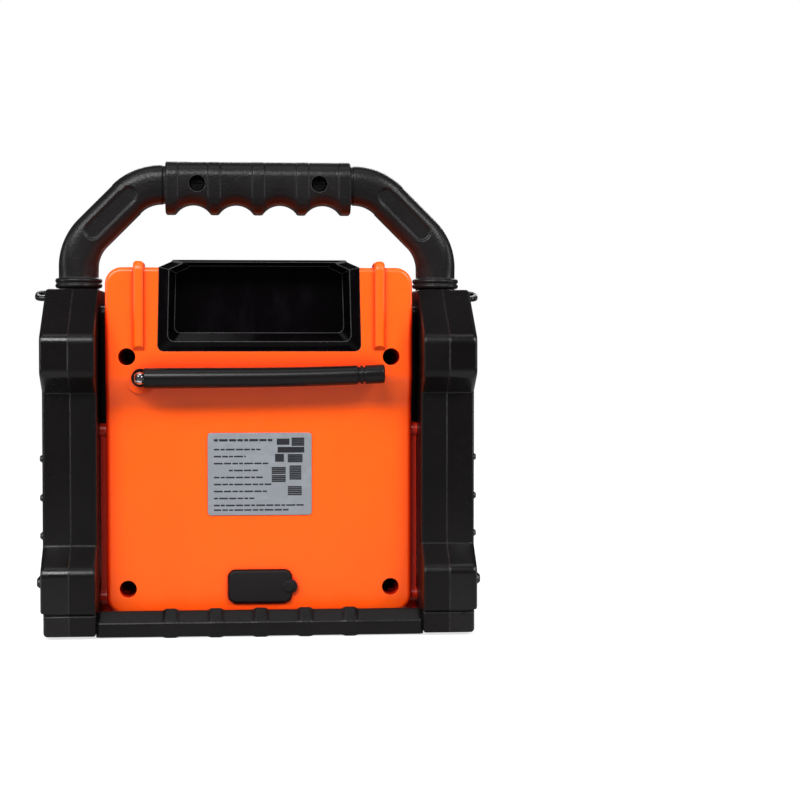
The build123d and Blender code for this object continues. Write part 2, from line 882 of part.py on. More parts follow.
with BuildPart() as antenna_cap:
    with BuildSketch(whip_plane):
        with BuildLine():
            Polyline(
                (cap_start, 0),
                (cap_start, whip_tip_r - cap_groove),
                (cap_start + 0.8, whip_tip_r - cap_groove),
                (cap_start + 0.8, whip_tip_r),
                (cap_start + 1.8, whip_tip_r),
                (cap_start + 1.8, whip_tip_r - cap_groove),
                (cap_start + 2.6, whip_tip_r - cap_groove),
                (cap_start + 2.6, whip_tip_r),
                (whip_reach - 0.8, whip_tip_r),
                (whip_reach, whip_tip_r - 0.8),
                (whip_reach, 0),
                close=True,
            )
        make_face()
    revolve(axis=whip_axis)
write(antenna_cap, "antenna_cap")


# ---------------------------------------------------------------- side guards
def guard_profile():
    """The guard's outline, seen from the side, in the sketch that is open."""
    rear_points = [
        (foot_half, guard_bottom),
        (foot_half, foot_top_z),
        (guard_half, ledge_z),
        (guard_half, lower_bumper_z),
        (column_half, column_low_z),
        (column_half, column_top_z),
        (guard_half, bumper_low_z),
        (guard_half, bumper_top_z),
        (guard_top_half, guard_top),
    ]
    front_points = [(-y, z) for y, z in reversed(rear_points)]
    with BuildLine() as outline:
        Polyline(*rear_points, *front_points, close=True)
    make_face(outline.edges())
    bumps = [
        v for v in vertices()
        if abs(abs(v.X) - guard_half) < 0.01 and v.Y > foot_top_z + 2
    ]
    fillet(bumps, bumper_r)


def guard_groove(low_x, high_x):
    """The grooves above the feet, front and rear, cut across the guard."""
    with BuildSketch(Plane.YZ.offset(low_x)) as groove:
        with Locations(*[(y, foot_top_z + groove_height / 2) for y in mirrored_x(guard_half)]):
            Rectangle(4 * groove_depth, groove_height)
    extrude(groove.sketch, amount=high_x - low_x, mode=Mode.SUBTRACT)


def guard_screw_places():
    """Where the guard screws stand, in a side view."""
    return [(y, z) for y in mirrored_x(guard_screw_y) for z in guard_screw_zs]


with BuildPart() as left_guard_inner:
    with BuildSketch(Plane.YZ.offset(guard_inner_x)):
        guard_profile()
    extrude(amount=guard_seam_x - guard_inner_x)
    fillet(faces().sort_by(Axis.X)[0].edges(), guard_edge_r * 0.6)
    with BuildSketch(Plane.YZ.offset(guard_inner_x + guard_wall)):
        guard_profile()
        offset(amount=-guard_wall, mode=Mode.REPLACE)
    extrude(amount=guard_seam_x - guard_inner_x, mode=Mode.SUBTRACT)
    with BuildSketch(Plane.YZ.offset(guard_inner_x)):
        with Locations(*guard_screw_places()):
            Circle(guard_boss_r)
    extrude(amount=guard_seam_x - guard_inner_x)
    with BuildSketch(Plane.YZ.offset(case_half_width)):
        with Locations((0, (pad_low_z + pad_high_z) / 2)):
            RectangleRounded(2 * pad_half, pad_high_z - pad_low_z, 3.0)
    extrude(amount=guard_inner_x - case_half_width)
    with BuildSketch(Plane.YZ.offset(guard_inner_x)):
        with Locations(*guard_screw_places()):
            Circle(guard_screw_r + 0.3)
    extrude(amount=guard_seam_x, mode=Mode.SUBTRACT)
    with BuildSketch(Plane.XY.offset(guard_top - leg_spigot_depth)):
        with Locations((leg_x, 0)):
            Circle(leg_spigot_r + seat)
    extrude(amount=leg_spigot_depth + 1, mode=Mode.SUBTRACT)
    bar_mid_z = (bar_bottom + bar_top) / 2
    bar_mid_y = bar_rear - bar_depth / 2
    with BuildSketch(Plane.YZ.offset(guard_inner_x)):
        with Locations((bar_mid_y, bar_mid_z), (-bar_mid_y, bar_mid_z)):
            Circle(bar_tenon_r + seat)
    extrude(amount=guard_wall, mode=Mode.SUBTRACT)
    guard_groove(guard_inner_x, guard_seam_x)
write(left_guard_inner, "left_guard_inner")

lug_root_x = guard_outer_x - guard_wall / 2
lug_plane = Plane(
    (lug_root_x, 0, lug_z),
    x_dir=(1, 0, 0),
    z_dir=(0, sin(radians(lug_lean)), cos(radians(lug_lean))),
)
with BuildPart() as strap_lug:
    with BuildSketch(lug_plane):
        Rectangle(lug_tip_x - lug_root_x, 2 * lug_half, align=(Align.MIN, Align.CENTER))
        fillet(vertices().group_by(Axis.X)[-1], lug_half * 0.75)
    extrude(amount=lug_height / 2, both=True)
    lug_rims = edges().filter_by(
        lambda e: e.center().X > lug_root_x + 1
        and abs(lug_plane.to_local_coords(e.center()).Z) > lug_height / 2 - 0.1
    )
    fillet(lug_rims, lug_edge_r)
    with BuildSketch(lug_plane):
        with Locations((lug_hole_x - lug_root_x, 0)):
            Circle(lug_hole_r)
    extrude(amount=lug_height, both=True, mode=Mode.SUBTRACT)

with BuildPart() as guard_foot:
    with BuildSketch(Plane.YZ.offset(guard_seam_x)):
        with Locations((0, guard_bottom)):
            foot_height = foot_top_z + groove_height - guard_bottom
            Rectangle(2 * foot_half, foot_height, align=(Align.CENTER, Align.MIN))
    extrude(amount=guard_outer_x - foot_inset - guard_seam_x)
    fillet(faces().sort_by(Axis.X)[-1].edges().sort_by(Axis.Z)[:-1], foot_edge_r)

with BuildPart() as left_guard_outer:
    with BuildSketch(Plane.YZ.offset(guard_seam_x)):
        guard_profile()
        with Locations((0, ledge_z)):
            below_foot = (Align.CENTER, Align.MAX)
            Rectangle(4 * guard_half, guard_half, align=below_foot, mode=Mode.SUBTRACT)
    extrude(amount=guard_outer_x - guard_seam_x)
    fillet(faces().sort_by(Axis.X)[-1].edges(), guard_edge_r)
    add(guard_foot.part)
    with BuildSketch(Plane.YZ.offset(guard_seam_x)):
        guard_profile()
        offset(amount=-guard_wall, mode=Mode.REPLACE)
    extrude(amount=guard_outer_x - guard_seam_x - guard_wall, mode=Mode.SUBTRACT)
    with BuildSketch(Plane.YZ.offset(guard_seam_x)):
        with Locations(*guard_screw_places()):
            Circle(guard_boss_r + 0.8)
    extrude(amount=guard_outer_x - guard_seam_x - 1.0)
    # gripping ribs across the outer face
    ribs = [(rib_z, rib_half, rib_height, rib_proud) for rib_z in rib_zs]
    ribs.append((low_rib_z, low_rib_half, low_rib_height, low_rib_proud))
    for rib_z, half, height, proud in ribs:
        with BuildSketch(Plane.YZ.offset(guard_outer_x)):
            with Locations((0, rib_z)):
                RectangleRounded(2 * half, height, height / 2 - 0.1)
        extrude(amount=proud, taper=rib_taper)
    add(strap_lug.part)
    with BuildSketch(Plane.YZ.offset(guard_outer_x + low_rib_proud)):
        with Locations(*guard_screw_places()):
            Circle(guard_head_r + play)
    extrude(amount=-guard_head_sink - low_rib_proud, mode=Mode.SUBTRACT)
    with BuildSketch(Plane.YZ.offset(guard_seam_x)):
        with Locations(*guard_screw_places()):
            Circle(guard_screw_r + 0.3)
    extrude(amount=guard_outer_x, mode=Mode.SUBTRACT)
    with BuildSketch(Plane.XY.offset(guard_top - leg_spigot_depth)):
        with Locations((leg_x, 0)):
            Circle(leg_spigot_r + seat)
    extrude(amount=leg_spigot_depth + 1, mode=Mode.SUBTRACT)
    guard_groove(guard_seam_x, guard_outer_x)
write(left_guard_outer, "left_guard_outer")

with BuildPart() as right_guard_inner:
    mirror(left_guard_inner.part, about=Plane.YZ)
write(right_guard_inner, "right_guard_inner")

with BuildPart() as right_guard_outer:
    mirror(left_guard_outer.part, about=Plane.YZ)
write(right_guard_outer, "right_guard_outer")

with BuildPart() as guard_screws:
    head_seat_x = guard_outer_x - guard_head_sink
    with BuildSketch(Plane.YZ.offset(head_seat_x)):
        with Locations(*guard_screw_places()):
            Circle(guard_head_r)
    extrude(amount=screw_head_height)
    with BuildSketch(Plane.YZ.offset(head_seat_x)):
        with Locations(*guard_screw_places()):
            Circle(guard_screw_r)
    extrude(amount=-(head_seat_x - case_half_width + guard_screw_reach))
    with BuildSketch(Plane.YZ.offset(head_seat_x + screw_head_height)):
        with Locations(*guard_screw_places()):
            Rectangle(guard_head_r * 1.1, guard_head_r * 0.26)
            Rectangle(guard_head_r * 0.26, guard_head_r * 1.1)
    extrude(amount=-screw_head_height * 0.6, mode=Mode.SUBTRACT)
    mirror(about=Plane.YZ)
write(guard_screws, "guard_screws")

with BuildPart() as feet:
    foot_centres = [
        (side * (foot_inner_x + foot_outer_x) / 2, end * (foot_near_y + foot_far_y) / 2)
        for side in (-1, 1)
        for end in (-1, 1)
    ]
    with BuildSketch(Plane.XY.offset(-standing_height)):
        with Locations(*foot_centres):
            RectangleRounded(foot_outer_x - foot_inner_x, foot_far_y - foot_near_y, foot_r)
    extrude(amount=standing_height + guard_bottom)
write(feet, "feet")

# ---------------------------------------------------------------- handle
for side, name in ((1, "left_elbow"), (-1, "right_elbow")):
    with BuildPart() as elbow:
        with BuildLine() as elbow_path:
            FilletPolyline(
                (side * leg_x, 0, guard_top),
                (side * leg_x, 0, leg_corner_z),
                (side * arm_corner_x, 0, handle_z),
                (side * grip_half, 0, handle_z),
                radius=bend_r,
            )
        with BuildSketch(Plane.XY.offset(guard_top)):
            with Locations((side * leg_x, 0)):
                Circle(tube_r)
        sweep(path=elbow_path.line)
        with BuildSketch(Plane.XY.offset(guard_top)):
            with Locations((side * leg_x, 0)):
                Circle(leg_spigot_r)
        extrude(amount=-leg_spigot_depth)
        with BuildSketch(Plane.YZ.offset(side * grip_half)):
            with Locations((0, handle_z)):
                Circle(grip_spigot_r)
        extrude(amount=-side * (grip_half - grip_spigot_end))
        with Locations(*[(side * leg_x, 0, z) for z in collar_zs]):
            Torus(collar_ring_major, collar_ring_r)
        # long recess on the slanted stretch, rear and front
        along = slot_shift * cos(radians(45))
        slant_x = side * ((leg_x + arm_corner_x) / 2 - along)
        slant_mid = (slant_x, 0, (leg_corner_z + handle_z) / 2 + along)
        for towards in (-1, 1):
            slot_plane = Plane(slant_mid, x_dir=(-side, 0, 1), z_dir=(0, towards, 0))
            with BuildSketch(slot_plane.offset(slot_floor_r)):
                SlotOverall(slot_length, slot_width)
            extrude(amount=tube_r, mode=Mode.SUBTRACT)
        with BuildSketch(upright(tube_r)):
            with Locations((side * grip_screw_x, handle_z)):
                Circle(grip_screw_r + play)
        extrude(amount=2 * tube_r, mode=Mode.SUBTRACT)
    write(elbow, name)

with BuildPart() as grip_blank:
    grip_mid_z = (grip_top + grip_bottom) / 2
    grip_height = grip_top - grip_bottom
    with BuildSketch(Plane.YZ):
        with Locations((0, grip_mid_z)):
            RectangleRounded(2 * grip_half_depth, grip_height, grip_corner_r)
    extrude(amount=grip_half, both=True)
    for band_x in band_xs:
        with BuildSketch(Plane.YZ.offset(band_x - band_width / 2)):
            with Locations((0, grip_mid_z)):
                RectangleRounded(
                    2 * (grip_half_depth + band_proud), grip_height, grip_corner_r
                )
        extrude(amount=band_width)
    with BuildSketch(upright(2 * grip_half_depth)):
        with Locations(*[(x, scallop_valley_z - scallop_r) for x in scallop_xs]):
            Circle(scallop_r)
    extrude(amount=4 * grip_half_depth, mode=Mode.SUBTRACT)
    with BuildSketch(Plane.YZ.offset(grip_spigot_end - seat)):
        with Locations((0, handle_z)):
            Circle(grip_spigot_r + seat)
    bore = extrude(amount=grip_half, mode=Mode.PRIVATE)
    add(bore, mode=Mode.SUBTRACT)
    mirror(bore, about=Plane.YZ, mode=Mode.SUBTRACT)

grip_screw_places = [(x, handle_z) for x in mirrored_x(grip_screw_x)]
with BuildPart() as grip_rear:
    add(grip_blank.part)
    split(bisect_by=Plane.XZ, keep=Keep.BOTTOM)
    with BuildSketch(upright(2 * grip_half_depth)):
        with Locations(*grip_screw_places):
            Circle(grip_well_r)
    extrude(amount=2 * grip_half_depth - grip_well_floor, mode=Mode.SUBTRACT)
    with BuildSketch(upright(2 * grip_half_depth)):
        with Locations(*grip_screw_places):
            Circle(grip_screw_r + 0.3)
    extrude(amount=2 * grip_half_depth, mode=Mode.SUBTRACT)
write(grip_rear, "grip_rear")

with BuildPart() as grip_front:
    add(grip_blank.part)
    split(bisect_by=Plane.XZ, keep=Keep.TOP)
    with BuildSketch(upright(0)):
        with Locations(*grip_screw_places):
            Circle(grip_screw_r + seat)
    extrude(amount=grip_well_floor + 1.5, mode=Mode.SUBTRACT)
write(grip_front, "grip_front")

with BuildPart() as grip_screws:
    with BuildSketch(upright(grip_well_floor)):
        with Locations(*grip_screw_places):
            Circle(grip_well_r - 0.7)
    extrude(amount=-grip_screw_head)
    with BuildSketch(upright(grip_well_floor)):
        with Locations(*grip_screw_places):
            Circle(grip_screw_r)
    extrude(amount=2 * grip_well_floor + 1.0)
    with BuildSketch(upright(grip_well_floor + grip_screw_head)):
        with Locations(*grip_screw_places):
            Rectangle(grip_well_r, grip_well_r * 0.25)
            Rectangle(grip_well_r * 0.25, grip_well_r)
    extrude(amount=grip_screw_head * 0.6, mode=Mode.SUBTRACT)
write(grip_screws, "grip_screws")


# ---------------------------------------------------------------- ground bars
def bar_section(proud):
    """The bar's section, seen from the side, swollen by proud."""
    with BuildLine() as outline:
        Polyline(
            (bar_rear - bar_depth - proud, bar_bottom - proud * 0.4),
            (bar_rear + proud * 0.6, bar_bottom - proud * 0.4),
            (bar_rear + proud * 0.6, bar_top - bar_chamfer),
            (bar_rear - bar_chamfer + proud, bar_top + proud),
            (bar_rear - bar_depth - proud, bar_top + proud - bar_top_fall),
            close=True,
        )
    make_face(outline.edges())
    fillet(vertices().filter_by(lambda v: v.X > bar_rear - bar_depth), 1.6)


with BuildPart() as rear_bar:
    with BuildSketch(Plane.YZ):
        bar_section(0)
    extrude(amount=guard_inner_x, both=True)
    for rib_x in bar_rib_xs:
        with BuildSketch(Plane.YZ.offset(rib_x - bar_rib_top / 2)):
            bar_section(bar_rib_proud)
        extrude(amount=bar_rib_top)
        with BuildSketch(Plane.YZ.offset(rib_x - bar_rib_width / 2)):
            bar_section(bar_rib_proud / 2)
        extrude(amount=bar_rib_width)
    with BuildSketch(Plane.YZ):
        with Locations((bar_mid_y, bar_mid_z)):
            Circle(bar_tenon_r)
    extrude(amount=guard_inner_x + guard_wall, both=True)
write(rear_bar, "rear_bar")

with BuildPart() as front_bar:
    mirror(rear_bar.part, about=Plane.XZ)
write(front_bar, "front_bar")

# ---------------------------------------------------------------- front panel
panel_mid_z = (panel_low_z + panel_high_z) / 2
button_places = [
    (button_first_x + index * button_pitch, button_z) for index in range(len(button_names))
]
with BuildPart() as front_panel:
    with BuildSketch(upright(case_front)):
        with Locations((0, panel_mid_z)):
            RectangleRounded(2 * panel_half_width, panel_high_z - panel_low_z, panel_r)
    extrude(amount=panel_thickness)
    fillet(faces().sort_by(Axis.Y)[0].edges(), panel_edge_r)
    # posts for the board and a box behind the media sockets
    with BuildSketch(upright(case_front)):
        with Locations(*[(x, z) for x in mirrored_x(post_x) for z in post_zs]):
            Circle(post_r)
    extrude(amount=-(board_y - case_front))
    with BuildSketch(upright(case_front)):
        with Locations((media_x, media_z)):
            RectangleRounded(media_width + 2.0, media_height - 1.0, media_r + 1.0)
    extrude(amount=-media_box_depth)
    # openings
    with BuildSketch(upright(panel_front)):
        with Locations((0, speaker_z)):
            Circle(grille_r + seat)
    extrude(amount=-grille_seat_depth, mode=Mode.SUBTRACT)
    with BuildSketch(upright(panel_front)):
        with Locations((0, speaker_z)):
            Circle(sound_opening_r)
        with Locations((display_x, display_z)):
            RectangleRounded(display_width, display_height, display_r)
        with Locations(*button_places):
            RectangleRounded(button_width + 2 * play, button_height + 2 * play, button_r + play)
        with Locations((knob_x, knob_z)):
            Circle(bushing_r + seat)
        with Locations((light_x, light_z)):
            Circle(light_r + seat)
    extrude(amount=-panel_thickness, mode=Mode.SUBTRACT)
    with BuildSketch(upright(panel_front)):
        with Locations((display_x, display_z)):
            RectangleRounded(
                display_width + 2 * window_margin,
                display_height + 2 * window_margin,
                display_r + window_margin,
            )
    extrude(amount=-window_thickness, mode=Mode.SUBTRACT)
    with BuildSketch(upright(panel_front)):
        with Locations(*panel_screw_places):
            Circle(panel_screw_r * 2 + 0.3)
    extrude(amount=-screw_head_height * 0.7, mode=Mode.SUBTRACT)
    with BuildSketch(upright(panel_front)):
        with Locations(*panel_screw_places):
            Circle(panel_screw_r + 0.3)
    extrude(amount=-panel_thickness, mode=Mode.SUBTRACT)
    with BuildSketch(upright(panel_front)):
        with Locations((media_x, media_z)):
            RectangleRounded(media_width, media_height, media_r)
    extrude(amount=-media_depth, mode=Mode.SUBTRACT)
    with BuildSketch(upright(panel_front)):
        with Locations((usb_a_x, media_z)):
            usb_a_outer = usb_a_width + 2 * usb_a_wall
            Rectangle(usb_a_outer + 2 * seat, usb_a_height + 2 * usb_a_wall + 2 * seat)
        with Locations((aux_x, media_z)):
            Circle(aux_body_r + seat)
    extrude(amount=-panel_thickness - media_box_depth, mode=Mode.SUBTRACT)
write(front_panel, "front_panel")

with BuildPart() as panel_screws:
    head_y = panel_front + screw_head_height * 0.7
    with BuildSketch(upright(head_y)):
        with Locations(*panel_screw_places):
            Circle(panel_screw_r * 2)
    extrude(amount=screw_head_height * 0.6)
    with BuildSketch(upright(head_y)):
        with Locations(*panel_screw_places):
            Circle(panel_screw_r)
    extrude(amount=-(case_front + case_wall - head_y))
    with BuildSketch(upright(head_y - screw_head_height * 0.6)):
        with Locations(*panel_screw_places):
            Rectangle(panel_screw_r * 2.4, panel_screw_r * 0.5)
            Rectangle(panel_screw_r * 0.5, panel_screw_r * 2.4)
    extrude(amount=-screw_head_height * 0.35, mode=Mode.SUBTRACT)
write(panel_screws, "panel_screws")

# ---------------------------------------------------------------- speaker
speaker_axis = Axis((0, 0, speaker_z), (0, 1, 0))
grille_back_y = panel_front + grille_seat_depth
with BuildPart() as speaker_grille:
    with BuildSketch(upright(grille_back_y)):
        with Locations((0, speaker_z)):
            Circle(grille_r)
        field = [
            loc for loc in HexLocations(grille_cell / 2, 19, 19, major_radius=False)
            if loc.position.length < grille_hole_field_r
        ]
        with Locations(*[(loc.position.X, loc.position.Y + speaker_z) for loc in field]):
            RegularPolygon(grille_hole_r, 6, rotation=30, mode=Mode.SUBTRACT)
    extrude(amount=grille_thickness)
write(speaker_grille, "speaker_grille")


def half_section():
    """The upright half plane through the speaker's axis: x is depth, y is radius."""
    return Plane((0, 0, speaker_z), x_dir=(0, 1, 0), z_dir=(1, 0, 0))


basket_front_y = case_front + surround_gasket
with BuildPart() as speaker_basket:
    with BuildSketch(half_section()):
        with BuildLine():
            Polyline(
                (basket_front_y, basket_inner_r),
                (basket_front_y, basket_r),
                (basket_front_y + basket_flange, basket_r),
                (basket_front_y + basket_flange, basket_inner_r + basket_wall),
                (basket_floor_y, basket_throat_r + basket_wall),
                (basket_floor_y, coil_r + 2.0),
                (basket_floor_y - basket_wall, coil_r + 2.0),
                (basket_floor_y - basket_wall, basket_throat_r),
                (basket_front_y + basket_flange, basket_inner_r),
                close=True,
            )
        make_face()
    revolve(axis=speaker_axis)
    window_mid_y = (basket_front_y + basket_floor_y) / 2
    for turn in range(0, 360, 60):
        window_plane = Plane(
            (0, window_mid_y, speaker_z),
            x_dir=(0, 1, 0),
            z_dir=(cos(radians(turn)), 0, sin(radians(turn))),
        )
        with BuildSketch(window_plane):
            RectangleRounded(11.0, 16.0, 2.0)
        extrude(amount=basket_r, mode=Mode.SUBTRACT)
write(speaker_basket, "speaker_basket")

with BuildPart() as speaker_magnet:
    with BuildSketch(half_section()):
        with BuildLine():
            Polyline(
                (basket_floor_y, 0),
                (basket_floor_y, magnet_gap_inner_r),
                (magnet_gap_end_y, magnet_gap_inner_r),
                (magnet_gap_end_y, magnet_gap_outer_r),
                (basket_floor_y, magnet_gap_outer_r),
                (basket_floor_y, magnet_r - 3),
                (basket_floor_y + 3, magnet_r - 3),
                (basket_floor_y + 3, magnet_r),
                (magnet_back_y - 3, magnet_r),
                (magnet_back_y - 3, magnet_r - 3),
                (magnet_back_y, magnet_r - 3),
                (magnet_back_y, 0),
                close=True,
            )
        make_face()
    revolve(axis=speaker_axis)
write(speaker_magnet, "speaker_magnet")

with BuildPart() as speaker_surround:
    roll_y = case_front + surround_gasket / 2
    with BuildSketch(half_section()):
        with Locations((roll_y, surround_centre_r)):
            Circle(surround_roll_r)
            Circle(surround_roll_r - surround_skin, mode=Mode.SUBTRACT)
            with Locations((-surround_roll_r, 0)):
                Rectangle(2 * surround_roll_r, 3 * surround_roll_r, mode=Mode.SUBTRACT)
        gasket_inner = surround_centre_r + surround_roll_r - surround_skin
        with Locations((roll_y, (gasket_inner + basket_r) / 2)):
            Rectangle(surround_gasket, basket_r - gasket_inner)
    revolve(axis=speaker_axis)
write(speaker_surround, "speaker_surround")

with BuildPart() as speaker_cone:
    cap_inner_y = cone_back_y - cone_skin
    with BuildSketch(half_section()):
        with BuildLine():
            Polyline(
                (cone_front_y, cone_r - cone_skin),
                (cone_front_y, cone_r),
                (cone_back_y, cone_throat_r),
                (coil_end_y, coil_r),
                (coil_end_y, coil_r - coil_wall),
                (cone_back_y, coil_r - coil_wall),
                (cone_back_y - dust_cap_rise * 0.6, coil_r * 0.6),
                (cone_back_y - dust_cap_rise, coil_r * 0.25),
                (cone_back_y - dust_cap_rise, 0),
                (cap_inner_y - dust_cap_rise, 0),
                (cap_inner_y - dust_cap_rise, coil_r * 0.25),
                (cap_inner_y - dust_cap_rise * 0.6, coil_r * 0.6),
                (cap_inner_y, coil_r - coil_wall),
                close=True,
            )
        make_face()
    revolve(axis=speaker_axis)
write(speaker_cone, "speaker_cone")

# ---------------------------------------------------------------- display
with BuildPart() as display_window:
    with BuildSketch(upright(panel_front + window_thickness)):
        with Locations((display_x, display_z)):
            RectangleRounded(
                display_width + 2 * window_margin - 2 * seat,
                display_height + 2 * window_margin - 2 * seat,
                display_r + window_margin - seat,
            )
    extrude(amount=window_thickness)
write(display_window, "display_window")

with BuildPart() as display_module:
    with BuildSketch(upright(board_y)):
        with Locations((display_x, display_z)):
            Rectangle(display_width + 4.0, display_height)
    extrude(amount=board_y - case_front)
    with BuildSketch(upright(case_front)):
        with Locations((display_x, display_z)):
            RectangleRounded(display_width - 2 * seat, display_height - 2 * seat, display_r)
    extrude(amount=panel_thickness - window_thickness)
write(display_module, "display_module")

with BuildPart() as main_board:
    board_mid_z = (board_low_z + board_high_z) / 2
    with BuildSketch(upright(board_back_y)):
        with Locations((0, board_mid_z)):
            RectangleRounded(2 * board_half_width, board_high_z - board_low_z, 2.0)
    extrude(amount=board_thickness)
    # key switches, chips and a terminal block
    with BuildSketch(upright(board_y)):
        with Locations(*button_places):
            Rectangle(6.0, 6.0)
        with Locations((light_x, light_z)):
            Circle(light_r + 0.5)
    extrude(amount=2.5)
    with BuildSketch(upright(board_back_y)):
        with Locations((-30, board_mid_z + 6), (6, board_mid_z - 2)):
            Rectangle(12.0, 12.0)
        with Locations((36, board_mid_z)):
            Rectangle(18.0, 9.0)
    extrude(amount=-2.0)
write(main_board, "main_board")

# ---------------------------------------------------------------- buttons
switch_face_y = board_y - 2.5
for name, place in zip(button_names, button_places):
    with BuildPart() as button:
        with BuildSketch(upright(case_front + play / 2)):
            with Locations(place):
                RectangleRounded(
                    button_width + 2 * button_flange,
                    button_height + 2 * button_flange,
                    button_r,
                )
        extrude(amount=-button_flange_thickness)
        with BuildSketch(upright(case_front + play / 2)):
            with Locations(place):
                RectangleRounded(button_width, button_height, button_r)
        extrude(amount=panel_thickness + play / 2 + button_proud)
        fillet(faces().sort_by(Axis.Y)[0].edges(), 0.6)
        stem_start = case_front + play / 2 + button_flange_thickness
        with BuildSketch(upright(stem_start)):
            with Locations(place):
                Circle(button_stem_r)
        extrude(amount=-(switch_face_y - button_travel - play / 2 - stem_start))
    write(button, f"{name}_button")

# ---------------------------------------------------------------- volume control
with BuildPart() as volume_encoder:
    with BuildSketch(upright(board_y)):
        with Locations((knob_x, knob_z)):
            Rectangle(2 * encoder_half, 2 * encoder_half)
    extrude(amount=board_y - encoder_front_y)
    with BuildSketch(upright(encoder_front_y)):
        with Locations((knob_x, knob_z)):
            Circle(bushing_r)
    extrude(amount=encoder_front_y - bushing_front_y)
    with BuildSketch(upright(bushing_front_y)):
        with Locations((knob_x, knob_z)):
            Circle(shaft_r + shaft_clearance)
    extrude(amount=-(board_y - 1.5 - bushing_front_y), mode=Mode.SUBTRACT)
write(volume_encoder, "volume_encoder")

shaft_front_y = knob_front_y + 3.0
with BuildPart() as encoder_shaft:
    with BuildSketch(upright(board_y - 2.0)):
        with Locations((knob_x, knob_z)):
            Circle(shaft_r)
    extrude(amount=board_y - 2.0 - shaft_front_y)
write(encoder_shaft, "encoder_shaft")

with BuildPart() as volume_knob:
    knob_back_y = panel_front - knob_gap
    with BuildSketch(upright(knob_back_y)):
        with Locations((knob_x, knob_z)):
            Circle(knob_skirt_r)
    extrude(amount=2.4)
    with BuildSketch(upright(knob_back_y)):
        with Locations((knob_x, knob_z)):
            Circle(knob_r)
    extrude(amount=knob_back_y - knob_front_y)
    fillet(edges().group_by(Axis.Y)[0], 1.4)
    with BuildSketch(upright(knob_back_y - 2.4)):
        with Locations((knob_x, knob_z)):
            with PolarLocations(knob_r + 0.2, knob_flute_count):
                Circle(knob_flute_r)
    extrude(amount=knob_back_y - knob_front_y, mode=Mode.SUBTRACT)
    with BuildSketch(upright(knob_front_y)):
        with Locations((knob_x, knob_z + knob_r * 0.62)):
            SlotOverall(5.0, 1.6, rotation=90)
    extrude(amount=-0.5, mode=Mode.SUBTRACT)
    with BuildSketch(upright(knob_back_y)):
        with Locations((knob_x, knob_z)):
            Circle(bushing_r + 0.6)
    extrude(amount=knob_back_y - bushing_front_y + 0.6, mode=Mode.SUBTRACT)
    with BuildSketch(upright(knob_back_y)):
        with Locations((knob_x, knob_z)):
            Circle(shaft_r + 0.02)
    extrude(amount=knob_back_y - shaft_front_y + 0.02, mode=Mode.SUBTRACT)
write(volume_knob, "volume_knob")

with BuildPart() as status_light:
    with BuildSketch(upright(switch_face_y)):
        with Locations((light_x, light_z)):
            Circle(light_r)
    extrude(amount=switch_face_y - panel_front + light_proud)
    fillet(edges().group_by(Axis.Y)[0], 0.3)
write(status_light, "status_light")

# ---------------------------------------------------------------- media sockets
socket_front_y = panel_front + media_depth
with BuildPart() as usb_a_socket:
    with BuildSketch(upright(socket_front_y)):
        with Locations((usb_a_x, media_z)):
            Rectangle(usb_a_outer, usb_a_height + 2 * usb_a_wall)
            Rectangle(usb_a_width, usb_a_height, mode=Mode.SUBTRACT)
    extrude(amount=-(media_socket_back_y - socket_front_y))
    with BuildSketch(upright(media_socket_back_y)):
        with Locations((usb_a_x, media_z)):
            Rectangle(usb_a_outer, usb_a_height + 2 * usb_a_wall)
    extrude(amount=1.5)
    with BuildSketch(upright(media_socket_back_y)):
        with Locations((usb_a_x, media_z + 1.2)):
            Rectangle(usb_a_width - 1.6, 1.8)
    extrude(amount=media_socket_back_y - socket_front_y - 0.8)
write(usb_a_socket, "usb_a_socket")

with BuildPart() as aux_jack:
    with BuildSketch(upright(socket_front_y)):
        with Locations((aux_x, media_z)):
            Circle(aux_body_r)
            Circle(aux_r, mode=Mode.SUBTRACT)
    extrude(amount=-(media_socket_back_y - socket_front_y))
write(aux_jack, "aux_jack")

with BuildPart() as media_cover:
    media_cover_width = media_width - 2 * cover_margin
    media_cover_height = media_height - 2 * cover_margin
    with BuildSketch(upright(socket_front_y - play)):
        with Locations((media_x, media_z)):
            RectangleRounded(media_cover_width, media_cover_height, media_r - cover_margin)
    extrude(amount=media_depth - play + cover_proud * 0.6)
    fillet(faces().sort_by(Axis.Y)[0].edges(), 0.7)
write(media_cover, "media_cover")

# ---------------------------------------------------------------- battery
cell_z = case_floor_z + holder_floor + cell_r + seat
with BuildPart() as battery_holder:
    holder_near = cell_ys[0] - cell_r - holder_side
    holder_far = cell_ys[-1] + cell_r + holder_side
    with BuildSketch(Plane.XY.offset(case_floor_z)):
        with Locations((0, (holder_near + holder_far) / 2)):
            Rectangle(2 * holder_half_width, holder_far - holder_near)
    extrude(amount=holder_floor + holder_height)
    with BuildSketch(Plane.YZ.offset(-cell_length / 2 - seat)):
        with Locations(*[(y, cell_z) for y in cell_ys]):
            Circle(cell_r + seat)
        with Locations(*[(y, cell_z + cell_r) for y in cell_ys]):
            Rectangle(2 * cell_r, 2 * cell_r)
    extrude(amount=cell_length + 2 * seat, mode=Mode.SUBTRACT)
write(battery_holder, "battery_holder")

with BuildPart() as battery_cells:
    with BuildSketch(Plane.YZ.offset(-cell_length / 2)):
        with Locations(*[(y, cell_z) for y in cell_ys]):
            Circle(cell_r)
    extrude(amount=cell_length)
    with BuildSketch(Plane.YZ.offset(-cell_length / 2 + 3.0)):
        with Locations(*[(y, cell_z) for y in cell_ys]):
            Circle(cell_r + 0.1)
            Circle(cell_r - 0.5, mode=Mode.SUBTRACT)
    extrude(amount=1.0, mode=Mode.SUBTRACT)
write(battery_cells, "battery_cells")
